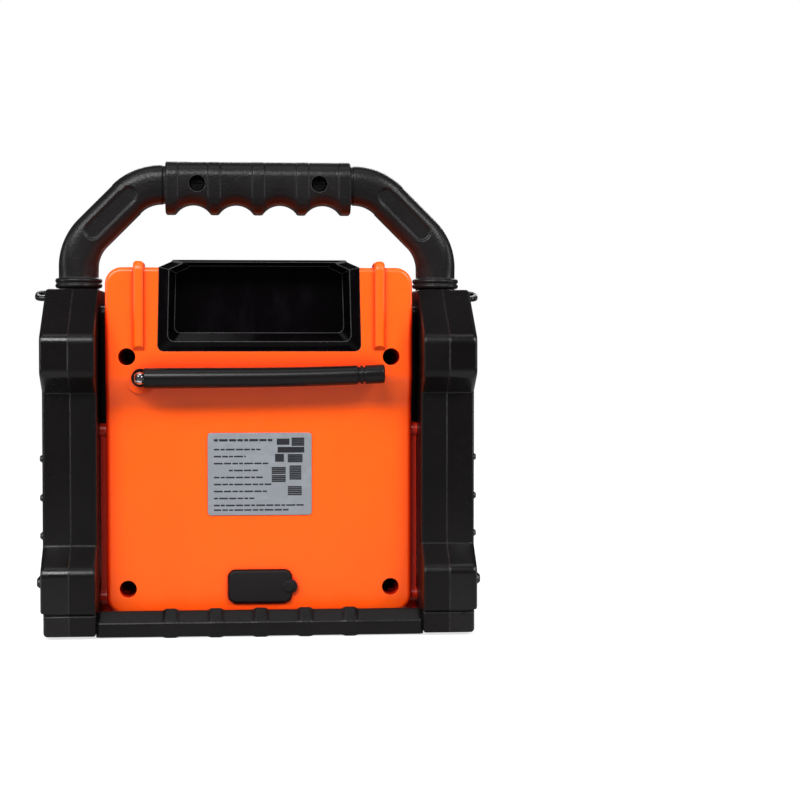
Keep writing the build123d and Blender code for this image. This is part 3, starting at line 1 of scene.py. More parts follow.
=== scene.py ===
"""Jobsite radio: the finish of every piece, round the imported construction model.

Metres. +Z is up, the front faces -Y and the rear faces +Y. "Left" is the +X side.
"""

import json
import logging
import math
from abc import ABC, abstractmethod
from dataclasses import dataclass
from enum import Enum
from typing import Sequence, Union

import bmesh
import bpy
from mathutils import Matrix, Vector


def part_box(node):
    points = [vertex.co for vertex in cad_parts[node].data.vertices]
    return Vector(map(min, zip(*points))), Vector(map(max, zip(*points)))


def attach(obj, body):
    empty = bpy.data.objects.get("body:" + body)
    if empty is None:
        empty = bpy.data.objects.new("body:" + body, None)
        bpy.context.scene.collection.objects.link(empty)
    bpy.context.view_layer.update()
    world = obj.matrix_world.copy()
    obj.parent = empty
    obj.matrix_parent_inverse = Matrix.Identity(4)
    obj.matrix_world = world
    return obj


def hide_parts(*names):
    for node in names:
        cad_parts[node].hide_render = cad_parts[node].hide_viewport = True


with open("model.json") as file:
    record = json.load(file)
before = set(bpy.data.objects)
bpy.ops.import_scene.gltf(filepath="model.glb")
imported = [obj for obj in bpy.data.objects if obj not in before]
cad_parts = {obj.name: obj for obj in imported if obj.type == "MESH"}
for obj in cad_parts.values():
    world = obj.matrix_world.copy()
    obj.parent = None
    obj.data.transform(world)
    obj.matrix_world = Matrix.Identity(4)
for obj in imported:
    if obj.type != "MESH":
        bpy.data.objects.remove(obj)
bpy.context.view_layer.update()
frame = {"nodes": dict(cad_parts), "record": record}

MM = 0.001
STAND = 2.4 * MM                # the sizes below are taken from a level this far above the ground
WELD = 1e-7                     # points nearer to each other than this are one point
LOG = logging.getLogger("radio")

Colour = tuple[float, float, float]
Value = Union["Signal", float, Colour]
Point = tuple[float, float]
Ring = list[Vector]


def srgb(red: int, green: int, blue: int) -> Colour:
    """Turns a colour written as 0 to 255 into linear light.

    Args:
        red, green, blue: the colour as a screen shows it.

    Returns:
        The same colour as the shaders take it.
    """
    def linear(channel: int) -> float:
        """One channel in linear light."""
        share = channel / 255
        return share / 12.92 if share <= 0.04045 else ((share + 0.055) / 1.055) ** 2.4

    return linear(red), linear(green), linear(blue)


# ------------ shader maths
class Signal:
    """One output of a node, whose arithmetic adds Math nodes to its graph."""

    def __init__(self, graph: "Graph", socket: bpy.types.NodeSocket) -> None:
        """Keeps the socket and the graph that it belongs to."""
        self.graph = graph
        self.socket = socket

    def _math(self, operation: str, *values: Value) -> "Signal":
        """One Math node on these values."""
        return self.graph.node("ShaderNodeMath", {"operation": operation}, dict(enumerate(values)))

    def __add__(self, other: Value) -> "Signal":
        """Sum."""
        return self._math("ADD", self, other)

    __radd__ = __add__

    def __sub__(self, other: Value) -> "Signal":
        """Difference."""
        return self._math("SUBTRACT", self, other)

    def __rsub__(self, other: Value) -> "Signal":
        """Difference from a number."""
        return self._math("SUBTRACT", other, self)

    def __mul__(self, other: Value) -> "Signal":
        """Product."""
        return self._math("MULTIPLY", self, other)

    __rmul__ = __mul__

    def ramp(self, low: float, high: float, start: float = 0.0, end: float = 1.0) -> "Signal":
        """Carries low..high smoothly onto start..end and holds the ends.

        Args:
            low, high: the range of this signal that changes the result.
            start, end: the result at low and at high.

        Returns:
            The shaped signal.
        """
        settings = {"interpolation_type": "SMOOTHSTEP"}
        inputs = {0: self, 1: low, 2: high, 3: start, 4: end}
        return self.graph.node("ShaderNodeMapRange", settings, inputs)


class Graph:
    """The node tree of one material, with its Principled shader."""

    def __init__(self, name: str) -> None:
        """Makes an empty material of this name."""
        self.material = bpy.data.materials.new(name)
        self.material.use_nodes = True
        self.tree = self.material.node_tree
        self.tree.nodes.clear()
        self.shader = self.tree.nodes.new("ShaderNodeBsdfPrincipled")
        self.output = self.tree.nodes.new("ShaderNodeOutputMaterial")
        self.tree.links.new(self.shader.outputs[0], self.output.inputs["Surface"])

    def put(self, socket: bpy.types.NodeSocket, value: Value) -> None:
        """Links a signal to a socket, or sets the socket's own value."""
        if isinstance(value, Signal):
            self.tree.links.new(value.socket, socket)
        elif (isinstance(value, (tuple, list)) and len(value) == 3
              and len(socket.default_value) == 4):
            socket.default_value = (*value, 1.0)
        else:
            socket.default_value = value

    def node(self, kind: str, settings: dict | None = None, inputs: dict | None = None,
             output: int | str = 0) -> Signal:
        """Adds a node.

        Args:
            kind: the node's type.
            settings: its properties, set before its sockets; "stops" fills a colour ramp.
            inputs: a value or a signal for each socket, by name or place.
            output: the output that is wanted.

        Returns:
            That output.
        """
        node = self.tree.nodes.new(kind)
        for key, value in (settings or {}).items():
            if key == "stops":
                elements = node.color_ramp.elements
                for stop, (place, colour) in enumerate(value):
                    element = elements[stop] if stop < len(elements) else elements.new(place)
                    element.position, element.color = place, (*colour, 1.0)
            else:
                setattr(node, key, value)
        for key, value in (inputs or {}).items():
            self.put(node.inputs[key], value)
        return Signal(self, node.outputs[output])

    def place(self, stretch: Sequence[float] = (1, 1, 1)) -> Signal:
        """The point on the object in metres, stretched along the axes."""
        where = self.node("ShaderNodeTexCoord", output="Object")
        return self.node("ShaderNodeMapping", {}, {"Vector": where, "Scale": tuple(stretch)})

    def noise(self, size: float, detail: float = 2.0,
              stretch: Sequence[float] = (1, 1, 1)) -> Signal:
        """Noise from 0 to 1 whose features measure about size metres."""
        inputs = {"Vector": self.place(stretch), "Scale": 1 / size, "Detail": detail}
        return self.node("ShaderNodeTexNoise", {}, inputs)

    def cells(self, size: float) -> Signal:
        """Distance to the middle of the nearest cell, for a pebbled grain."""
        inputs = {"Vector": self.place(), "Scale": 1 / size}
        return self.node("ShaderNodeTexVoronoi", {"feature": "SMOOTH_F1"}, inputs)

    def mix(self, share: Value, one: Value, other: Value) -> Signal:
        """A colour between two others."""
        return self.node("ShaderNodeMix", {"data_type": "RGBA"}, {0: share, 6: one, 7: other}, 2)

    def soft_normal(self, radius: float) -> Signal:
        """The surface direction with every edge rounded by radius."""
        return self.node("ShaderNodeBevel", {"samples": 4}, {"Radius": radius})

    def edge_mask(self, radius: float, low: float = 0.01, high: float = 0.16) -> Signal:
        """1 where rounding by radius would turn the surface, on edges, and 0 on flats."""
        flat = self.node("ShaderNodeNewGeometry", output="Normal")
        both = {0: self.soft_normal(radius), 1: flat}
        likeness = self.node("ShaderNodeVectorMath", {"operation": "DOT_PRODUCT"}, both, "Value")
        return (1 - likeness).ramp(low, high)

    def openness(self, reach: float) -> Signal:
        """1 where nothing stands within reach, towards 0 in creases and wells."""
        return self.node("ShaderNodeAmbientOcclusion", {"samples": 6}, {"Distance": reach}, "AO")

    def bump(self, height: Value, depth: float, rounding: float) -> Signal:
        """Surface relief of depth metres on softly rounded edges."""
        inputs = {"Strength": 1.0, "Distance": depth, "Height": height,
                  "Normal": self.soft_normal(rounding)}
        return self.node("ShaderNodeBump", {}, inputs)

    def surface(self, **sockets: Value) -> None:
        """Sets the shader's sockets; an underscore in a name stands for a space."""
        for name, value in sockets.items():
            self.put(self.shader.inputs[name.replace("_", " ")], value)


# ------------ finishes
MADE: dict[str, bpy.types.Material] = {}


@dataclass(frozen=True)
class Finish(ABC):
    """How one kind of surface looks."""

    name: str
    colour: Colour

    @abstractmethod
    def paint(self, graph: Graph) -> None:
        """Adds this finish's nodes to an empty graph."""

    def material(self) -> bpy.types.Material:
        """The material of this finish, made once."""
        if self.name not in MADE:
            graph = Graph(self.name)
            self.paint(graph)
            MADE[self.name] = graph.material
        return MADE[self.name]


@dataclass(frozen=True)
class Moulded(Finish):
    """Injection-moulded plastic or rubber with a spark-eroded grain."""

    roughness: float = 0.42
    grain: float = 0.55 * MM
    depth: float = 0.02 * MM
    mottle: float = 0.10
    # share of edge lightening: part wear, part painted highlight on ridges
    edge_wear_and_highlight: float = 0.10
    rounding: float = 0.35 * MM
    coat: float = 0.0
    shine: float = 0.3
    coat_roughness: float = 0.2
    # colour of the painted shade in creases and wells, laid by ambient occlusion
    painted_crease_shade: Colour | None = None
    painted_shade_reach: float = 12 * MM
    painted_shade_range: Point = (0.45, 1.0)
    flow_size: float = 28 * MM
    flow_range: Point = (0.3, 0.7)
    flow_dulls: float = 0.06
    dust_size: float = 2.6 * MM
    dust_range: Point = (0.52, 0.78)
    dust_dulls: float = 0.08
    wear_and_highlight_size: float = 1.8 * MM
    wear_and_highlight_range: Point = (0.2, 0.6)
    wear_and_highlight_width: float = 0.9 * MM
    wear_and_highlight_lift: Point = (0.10, 0.4)      # this share of the colour and of a base

    def paint(self, graph: Graph) -> None:
        """Grain, flow mottling, edges lighter by wear and painted highlight, painted shade in
        creases and dulling dust.
        """
        grain = graph.cells(self.grain) * 0.6 + graph.noise(self.grain * 0.6, 3.0) * 0.7
        flow = graph.noise(self.flow_size, 3.0, (1, 1, 0.6))
        dust = graph.noise(self.dust_size, 4.0).ramp(*self.dust_range)
        pale = tuple(min(1.0, c * (1 + 1.4 * self.mottle) + 0.004 * self.mottle)
                     for c in self.colour)
        deep = tuple(c * (1 - self.mottle) for c in self.colour)
        body = graph.mix(flow.ramp(*self.flow_range), deep, pale)
        share, base = self.wear_and_highlight_lift
        rubbed_and_highlit = tuple(min(1.0, c + share * (base + c)) for c in self.colour)
        patches = graph.noise(self.wear_and_highlight_size, 3.0).ramp(*self.wear_and_highlight_range)
        # Paler edges: part edge wear, part painted highlight along ridges and roundings.
        wear_and_highlight = graph.edge_mask(self.wear_and_highlight_width) * patches * self.edge_wear_and_highlight
        # Painted shade: the base colour turns towards a deep red in creases and wells.
        if self.painted_crease_shade:
            openness = graph.openness(self.painted_shade_reach).ramp(*self.painted_shade_range)
            body = graph.mix(openness, self.painted_crease_shade, body)
        gloss = dust * self.dust_dulls + flow * self.flow_dulls + (self.roughness - 0.05)
        graph.surface(Base_Color=graph.mix(wear_and_highlight, body, rubbed_and_highlit), Roughness=gloss,
                      Normal=graph.bump(grain, self.depth, self.rounding))
        graph.surface(Coat_Weight=self.coat, Coat_Roughness=self.coat_roughness,
                      Specular_IOR_Level=self.shine)


@dataclass(frozen=True)
class Polished(Finish):
    """High-gloss plastic with faint wiping marks."""

    roughness: float = 0.09
    rounding: float = 0.5 * MM
    shine: float = 0.5
    # share of painted highlight along the ridges
    rim: float = 0.0
    ridge_highlight_width: float = 0.7 * MM
    ridge_highlight_lift: float = 0.09
    smear_size: float = 9 * MM
    hair_size: float = 0.25 * MM
    wave_size: float = 14 * MM
    wave_depth: float = 0.015 * MM

    def paint(self, graph: Graph) -> None:
        """Smears in the gloss, hair-fine scratches, a barely wavy skin and painted highlights along
        the ridges.
        """
        smear = graph.noise(self.smear_size, 4.0, (1, 0.4, 0.5)).ramp(0.45, 0.75)
        hair = graph.noise(self.hair_size, 2.0, (1, 0.05, 0.05)).ramp(0.62, 0.75)
        wave = graph.noise(self.wave_size, 1.0)
        tint = tuple(c * 1.35 + 0.001 for c in self.colour)
        # Painted highlight: the ridges are made paler in base colour.
        rim = tuple(c + self.ridge_highlight_lift for c in self.colour)
        body = graph.mix(smear, self.colour, tint)
        graph.surface(Base_Color=graph.mix(graph.edge_mask(self.ridge_highlight_width) * self.rim, body, rim),
                      Roughness=smear * 0.07 + hair * 0.05 + self.roughness,
                      Normal=graph.bump(wave + hair * 0.02, self.wave_depth, self.rounding))
        graph.surface(Specular_IOR_Level=self.shine)


@dataclass(frozen=True)
class Metal(Finish):
    """Plated, blackened or brushed metal."""

    roughness: float = 0.25
    brush: tuple[float, float, float] = (1, 1, 1)
    streak: float = 0.5 * MM
    tarnish: float = 0.15
    film_size: float = 3 * MM
    brush_depth: float = 0.006 * MM
    rounding: float = 0.15 * MM

    def paint(self, graph: Graph) -> None:
        """Brushing in the gloss and the relief, with a thin tarnish."""
        brushing = graph.noise(self.streak, 3.0, self.brush)
        film = graph.noise(self.film_size, 3.0).ramp(0.45, 0.75)
        dull = tuple(c * (1 - 2 * self.tarnish) for c in self.colour)
        graph.surface(Base_Color=graph.mix(film * 0.7, self.colour, dull),
                      Roughness=brushing * 0.14 + film * 0.1 + (self.roughness - 0.07),
                      Normal=graph.bump(brushing, self.brush_depth, self.rounding))
        graph.surface(Metallic=1.0)


@dataclass(frozen=True)
class Circuit(Finish):
    """A solder-masked board with tracks under the mask."""

    roughness: float = 0.3
    pitch: float = 5 * MM
    track_depth: float = 0.03 * MM
    rounding: float = 0.1 * MM

    def paint(self, graph: Graph) -> None:
        """Tracks as paler lines that stand slightly proud."""
        settings = {"distance": "CHEBYCHEV", "feature": "F2"}
        inputs = {"Vector": graph.place(), "Scale": 1 / self.pitch}
        tracks = graph.node("ShaderNodeTexVoronoi", settings, inputs)
        line = (tracks * 6).ramp(2.4, 2.7) * 0.6
        pale = tuple(c * 1.8 + 0.02 for c in self.colour)
        graph.surface(Base_Color=graph.mix(line, self.colour, pale), Roughness=self.roughness,
                      Normal=graph.bump(line, self.track_depth, self.rounding))


@dataclass(frozen=True)
class Paper(Finish):
    """Pressed paper pulp of a loudspeaker cone."""

    roughness: float = 0.85
    fibre: float = 0.7 * MM
    coarse_fibre: float = 0.9 * MM
    fibre_depth: float = 0.05 * MM
    rounding: float = 0.2 * MM

    def paint(self, graph: Graph) -> None:
        """Fibres that lie every way."""
        fibres = (graph.noise(self.fibre, 5.0, (1, 3, 1))
                  + graph.noise(self.coarse_fibre, 4.0, (3, 1, 1)))
        pale = tuple(c * 1.7 + 0.004 for c in self.colour)
        graph.surface(Base_Color=graph.mix(fibres.ramp(0.7, 1.3), self.colour, pale),
                      Roughness=self.roughness,
                      Normal=graph.bump(fibres, self.fibre_depth, self.rounding))


@dataclass(frozen=True)
class Clear(Finish):
    """Smoked clear plastic."""

    roughness: float = 0.04
    clarity: float = 0.85
    ior: float = 1.49
    smear_size: float = 7 * MM
    smear_depth: float = 0.004 * MM
    rounding: float = 0.25 * MM

    def paint(self, graph: Graph) -> None:
        """A glossy skin with a trace of smearing over a see-through body."""
        smear = graph.noise(self.smear_size, 3.0).ramp(0.5, 0.8)
        graph.surface(Base_Color=self.colour, Roughness=smear * 0.06 + self.roughness,
                      Normal=graph.bump(smear, self.smear_depth, self.rounding))
        graph.surface(Transmission_Weight=self.clarity, IOR=self.ior)


@dataclass(frozen=True)
class Floor(Finish):
    """The plain pale floor, white to the camera and still taking the shadow."""

    roughness: float = 0.9
    lift: float = 0.72
    mirrored_share: float = 0.2
    near: float = 0.2
    far: float = 0.6
    far_level: float = 0.03

    def paint(self, graph: Graph) -> None:
        """Diffuse and lifted for camera rays; reflections see it lit near the radio only."""
        length = {"operation": "LENGTH"}
        away = graph.node("ShaderNodeVectorMath", length, {0: graph.place()}, "Value")
        mirrored = graph.node("ShaderNodeLightPath", output="Is Glossy Ray")
        fall = mirrored * away.ramp(self.near, self.far)
        seen = graph.node("ShaderNodeLightPath", output="Is Camera Ray")
        strength = (seen + (mirrored - fall) * self.mirrored_share) * self.lift
        glow = graph.node("ShaderNodeEmission", {}, {"Color": (1, 1, 1), "Strength": strength})
        dim = (self.far_level, self.far_level, self.far_level)
        graph.surface(Base_Color=graph.mix(fall, self.colour, dim), Roughness=self.roughness)
        lit = Signal(graph, graph.shader.outputs[0])
        graph.put(graph.output.inputs["Surface"],
                  graph.node("ShaderNodeAddShader", {}, {0: lit, 1: glow}))


# Orange plastic; its second, deep red colour is painted shade in creases and wells.
ORANGE = Moulded("orange_plastic", srgb(255, 88, 4), roughness=0.36, grain=0.8 * MM,
                 depth=0.006 * MM, mottle=0.03, rounding=0.45 * MM, coat=0.1, shine=0.35,
                 painted_crease_shade=srgb(214, 34, 4))
# The blacks' paler edges below are part wear, part painted highlight along ridges.
GUARD = Moulded("guard_plastic", srgb(10, 8, 9), roughness=0.23, grain=0.8 * MM,
                depth=0.012 * MM, mottle=0.12, edge_wear_and_highlight=0.85, rounding=1.2 * MM, shine=0.32)
INNER_GUARD = Moulded("inner_guard_plastic", srgb(10, 8, 9), roughness=0.34, grain=0.8 * MM,
                      depth=0.016 * MM, mottle=0.12, edge_wear_and_highlight=0.6, rounding=1.2 * MM, shine=0.2)
HANDLE = Moulded("handle_plastic", srgb(20, 19, 20), roughness=0.34, grain=1.1 * MM,
                 depth=0.1 * MM, mottle=0.14, edge_wear_and_highlight=1.0, rounding=0.5 * MM, shine=0.18)
BAR = Moulded("bar_plastic", srgb(11, 10, 11), roughness=0.34, grain=1.0 * MM, depth=0.08 * MM,
              mottle=0.15, edge_wear_and_highlight=0.9, rounding=0.5 * MM, shine=0.2)
COVER_RUBBER = Moulded("cover_rubber", srgb(19, 17, 18), roughness=0.6, grain=0.4 * MM,
                       depth=0.012 * MM, mottle=0.12, edge_wear_and_highlight=0.3, rounding=0.4 * MM,
                       shine=0.15)
WHIP_RUBBER = Moulded("whip_rubber", srgb(15, 13, 14), roughness=0.3, grain=0.5 * MM,
                      depth=0.004 * MM, edge_wear_and_highlight=0.15, rounding=0.2 * MM, shine=0.2)
SEAL = Moulded("seal_rubber", srgb(14, 14, 14), roughness=0.7, grain=0.4 * MM, depth=0.01 * MM)
PANEL = Moulded("panel_plastic", srgb(24, 23, 25), roughness=0.5, grain=0.7 * MM,
                depth=0.04 * MM, edge_wear_and_highlight=0.2)
BUTTON = Moulded("button_rubber", srgb(70, 70, 73), roughness=0.6, grain=0.4 * MM,
                 depth=0.01 * MM)
KNOB = Moulded("knob_rubber", srgb(19, 18, 19), roughness=0.55, grain=0.5 * MM)
SOCKET = Moulded("socket_plastic", srgb(20, 20, 21), roughness=0.4, grain=0.5 * MM,
                 depth=0.006 * MM)
FERRITE = Moulded("ferrite", srgb(60, 60, 64), roughness=0.7, grain=0.6 * MM, depth=0.03 * MM)
SURROUND = Moulded("surround_rubber", srgb(26, 25, 26), roughness=0.55, grain=0.5 * MM,
                   depth=0.01 * MM)
INK = Moulded("label_ink", srgb(30, 31, 36), roughness=0.5, grain=0.2 * MM, depth=0.002 * MM)
DISPLAY = Polished("display_glass", srgb(30, 34, 36), roughness=0.2)
LIGHT = Polished("light_pipe", srgb(205, 214, 210), roughness=0.25)
# The tray's ridges carry a painted highlight.
TRAY = Polished("tray_gloss", srgb(5, 4, 5), roughness=0.07, shine=0.07, rim=0.9)
WRAP = Polished("cell_wrap", srgb(30, 74, 120), roughness=0.3)
LABEL = Metal("label_foil", srgb(163, 168, 174), roughness=0.5, brush=(0.06, 1, 1),
              streak=0.3 * MM, tarnish=0.05)
CHROME = Metal("chrome", srgb(222, 222, 226), roughness=0.12, tarnish=0.05)
SCREW = Metal("blackened_steel", srgb(30, 28, 30), roughness=0.35, brush=(1, 0.2, 1))
STEEL = Metal("plated_steel", srgb(176, 176, 180), roughness=0.28, brush=(0.2, 1, 1))
GRILLE = Metal("painted_steel", srgb(44, 43, 45), roughness=0.45, streak=0.4 * MM)
CONE = Paper("cone_paper", srgb(48, 46, 46))
WINDOW = Clear("window_plastic", srgb(150, 155, 160))
BOARD = Circuit("circuit_board", srgb(24, 92, 52))
FLOOR = Floor("studio_floor", (0.36, 0.36, 0.36))

SLOT_FINISHES: dict[str, Finish] = {
    "case_orange": ORANGE, "seal_rubber": SEAL, "steel_screws": SCREW, "tray_gloss": TRAY,
    "label_silver": LABEL, "socket_metal": STEEL, "socket_black": SOCKET, "board_green": BOARD,
    "cover_rubber": COVER_RUBBER, "chrome": CHROME, "antenna_rubber": WHIP_RUBBER,
    "guard_plastic": GUARD, "inner_guard_plastic": INNER_GUARD, "handle_plastic": HANDLE,
    "bar_plastic": BAR, "panel_plastic": PANEL, "grille_steel": GRILLE, "basket_steel": GRILLE,
    "magnet_ferrite": FERRITE, "surround_rubber": SURROUND, "cone_paper": CONE,
    "window_clear": WINDOW, "display_dark": DISPLAY, "button_plastic": BUTTON,
    "knob_plastic": KNOB, "light_pipe": LIGHT, "cell_wrap": WRAP,
}


# ------------ studio
@dataclass
class Studio:
    """Camera, floor, world and lamps; lengths in metres, the lens in millimetres."""

    eye: tuple[float, float, float] = (0.012, 0.965, 0.1374)
    lens: float = 88.0
    sensor: float = 36.0
    clip: Point = (0.01, 50.0)
    yaw: float = 4.85
    pitch: float = 1.76
    world_level: float = 0.07
    floor_reach: float = 1.4
    floor_points: int = 96
    lamps: tuple[tuple[str, tuple[float, float, float], Point, float], ...] = (
        ("overhead", (0.0, 0.25, 1.3), (0.9, 0.5), 2),
        ("rear_key", (0.35, 1.4, 1.15), (0.7, 0.4), 23),
        ("rear_left", (0.95, 1.0, 1.0), (0.6, 0.6), 15),
        ("rear_right", (-0.95, 1.0, 1.0), (0.6, 0.6), 16),
        ("side_left", (1.2, 0.1, 0.3), (0.25, 0.8), 4),
        ("side_right", (-1.2, 0.1, 0.3), (0.25, 0.8), 4),
        ("front_key", (-0.2, -1.5, 0.95), (1.3, 0.8), 14))
    lamp_target: tuple[float, float, float] = (0, 0, 0.1)

    def camera(self) -> None:
        """Stands the camera behind the radio, turned by yaw towards -X and pitch down."""
        data = bpy.data.cameras.new("camera")
        data.lens, data.sensor_width = self.lens, self.sensor
        data.clip_start, data.clip_end = self.clip
        camera = bpy.data.objects.new("camera", data)
        bpy.context.scene.collection.objects.link(camera)
        yaw, pitch = math.radians(self.yaw), math.radians(self.pitch)
        ahead = -Vector((math.sin(yaw) * math.cos(pitch), math.cos(yaw) * math.cos(pitch),
                         math.sin(pitch)))
        camera.location = self.eye
        camera.rotation_euler = ahead.to_track_quat("-Z", "Y").to_euler()
        bpy.context.scene.camera = camera

    def lamp(self, name: str, place: Sequence[float], size: Point, power: float) -> None:
        """Hangs one softbox that faces the radio.

        Args:
            name: the lamp's name.
            place: where it stands.
            size: its width and height.
            power: its output in watts.
        """
        data = bpy.data.lights.new(name, "AREA")
        data.shape, data.size, data.size_y, data.energy = "RECTANGLE", size[0], size[1], power
        lamp = bpy.data.objects.new(name, data)
        lamp.location = place
        ahead = Vector(self.lamp_target) - Vector(place)
        lamp.rotation_euler = ahead.to_track_quat("-Z", "Y").to_euler()
        bpy.context.scene.collection.objects.link(lamp)

    def floor(self) -> None:
        """Lays the floor, one round disc."""
        mesh = bpy.data.meshes.new("floor")
        build = bmesh.new()
        bmesh.ops.create_circle(build, cap_ends=True, segments=self.floor_points,
                                radius=self.floor_reach)
        build.to_mesh(mesh)
        build.free()
        mesh.materials.append(FLOOR.material())
        floor = bpy.data.objects.new("floor", mesh)
        bpy.context.scene.collection.objects.link(floor)

    def world(self) -> None:
        """A pale surround: plain for lighting, white where the camera sees it."""
        world = bpy.data.worlds.new("surround")
        bpy.context.scene.world = world
        world.use_nodes = True
        tree = world.node_tree
        sky = tree.nodes["Background"]
        sky.inputs["Color"].default_value = (1, 1, 1, 1)
        path = tree.nodes.new("ShaderNodeLightPath")
        level = tree.nodes.new("ShaderNodeMapRange")
        level.inputs["To Min"].default_value = self.world_level
        level.inputs["To Max"].default_value = 1.0
        tree.links.new(path.outputs["Is Camera Ray"], level.inputs["Value"])
        tree.links.new(level.outputs[0], sky.inputs["Strength"])

    def build(self) -> None:
        """Sets up the whole studio."""
        self.camera()
        self.floor()
        self.world()
        for lamp in self.lamps:
            self.lamp(*lamp)
        bpy.context.scene.view_settings.view_transform = "Standard"


# ------------ mesh making
def smooth_step(value: float, low: float, high: float) -> float:
    """Rises smoothly from 0 at low to 1 at high; high may be the smaller."""
    share = min(1.0, max(0.0, (value - low) / (high - low)))
    return share * share * (3 - 2 * share)


def steps(low: float, high: float, pitch: float) -> list[float]:
    """Evenly spaced numbers from low to high, about pitch apart."""
    count = max(1, math.ceil(abs(high - low) / pitch))
    return [low + (high - low) * index / count for index in range(count + 1)]


def rounded(corners: Sequence[Point], radii: Union[float, Sequence[float]],
            arc: int = 5) -> list[Point]:
    """Rounds the corners of a polygon.

    Args:
        corners: its corners in order.
        radii: one radius, or one for each corner.
        arc: how many stretches each corner is made of.

    Returns:
        The points of the rounded outline.
    """
    if isinstance(radii, (int, float)):
        radii = [radii] * len(corners)
    outline = []
    for index, (corner, radius) in enumerate(zip(corners, radii)):
        here = Vector(corner)
        back = (Vector(corners[index - 1]) - here).normalized()
        ahead = (Vector(corners[(index + 1) % len(corners)]) - here).normalized()
        half = back.angle(ahead) / 2
        middle = here + (back + ahead).normalized() * (radius / math.sin(half))
        start = (here + back * (radius / math.tan(half)) - middle).normalized()
        end = (here + ahead * (radius / math.tan(half)) - middle).normalized()
        for place in range(arc + 1):
            outline.append(tuple(middle + start.slerp(end, place / arc) * radius))
    return outline


def box_corners(low_x: float, low_z: float, high_x: float, high_z: float) -> list[Point]:
    """The four corners of a rectangle, in order."""
    return [(low_x, low_z), (high_x, low_z), (high_x, high_z), (low_x, high_z)]


def circle(radius: float, count: int, middle: Point = (0.0, 0.0)) -> list[Point]:
    """Points evenly round a circle."""
    turns = [2 * math.pi * index / count for index in range(count)]
    return [(middle[0] + radius * math.cos(t), middle[1] + radius * math.sin(t)) for t in turns]


class Shape:
    """A closed mesh under construction, in metres and in the radio's frame."""

    def __init__(self) -> None:
        """Starts empty."""
        self.mesh = bmesh.new()

    def loft(self, rings: Sequence[Ring]) -> "Shape":
        """Joins rings of as many points each into a closed tube with end faces."""
        rows = [[self.mesh.verts.new(point) for point in ring] for ring in rings]
        for one, other in zip(rows, rows[1:]):
            for index in range(len(one)):
                after = (index + 1) % len(one)
                self.mesh.faces.new((one[index], one[after], other[after], other[index]))
        self.mesh.faces.new(rows[0][::-1])
        self.mesh.faces.new(rows[-1])
        return self

    def slab(self, outline: Sequence[Point], near_y: float, far_y: float) -> "Shape":
        """A plate with this outline in X and Z, between two depths."""
        return self.loft([[Vector((x, y, z)) for x, z in outline] for y in (near_y, far_y)])

    def finished_mesh(self, name: str) -> bpy.types.Mesh:
        """Closes the work and returns it as mesh data."""
        bmesh.ops.remove_doubles(self.mesh, verts=self.mesh.verts, dist=WELD)
        bmesh.ops.recalc_face_normals(self.mesh, faces=self.mesh.faces)
        data = bpy.data.meshes.new(name)
        self.mesh.to_mesh(data)
        self.mesh.free()
        return data

    def cut(self, *tools: "Shape") -> "Shape":
        """Cuts other shapes out of this one.

        Args:
            tools: the shapes to cut away; they are used up.

        Returns:
            What is left, as a new shape.
        """
        scene = bpy.context.scene.collection
        whole = bpy.data.objects.new("whole", self.finished_mesh("whole"))
        used = [whole]
        scene.objects.link(whole)
        for tool in tools:
            cutter = bpy.data.objects.new("cutter", tool.finished_mesh("cutter"))
            scene.objects.link(cutter)
            used.append(cutter)
            boolean = whole.modifiers.new("cut", "BOOLEAN")
            boolean.operation, boolean.solver, boolean.object = "DIFFERENCE", "EXACT", cutter
        bpy.context.view_layer.update()
        left = Shape()
        graph = bpy.context.evaluated_depsgraph_get()
        left.mesh.from_mesh(bpy.data.meshes.new_from_object(whole.evaluated_get(graph)))
        for piece in used:
            bpy.data.objects.remove(piece)
        return left

    def place(self, name: str, finish: Finish, slot: str, body: str, *nodes: str,
              crease: float = 32.0) -> bpy.types.Object:
        """Puts the finished piece on the radio.

        Args:
            name: the piece's name.
            finish: what it is made of.
            slot: the record's material slot of its finish; not used.
            body: the body that it moves with.
            nodes: the nodes of the construction model that it stands for.
            crease: edges that turn by more degrees stay sharp.

        Returns:
            The new object.
        """
        data = self.finished_mesh(name)
        data.transform(Matrix.Translation((0, 0, STAND)))
        data.shade_smooth()
        data.set_sharp_from_angle(angle=math.radians(crease))
        data.materials.append(finish.material())
        piece = bpy.data.objects.new(name, data)
        bpy.context.scene.collection.objects.link(piece)
        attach(piece, body)
        if nodes:
            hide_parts(*nodes)
        LOG.info("%s: %d faces on %s, for %s", name, len(data.polygons), body, nodes or "no node")
        return piece


class Side(Enum):
    """Which side of the radio a piece is on; the value is the sign of X."""

    LEFT = 1
    RIGHT = -1


class Face(Enum):
    """Which face of the radio a piece is on; the value is the sign of Y."""

    REAR = 1
    FRONT = -1


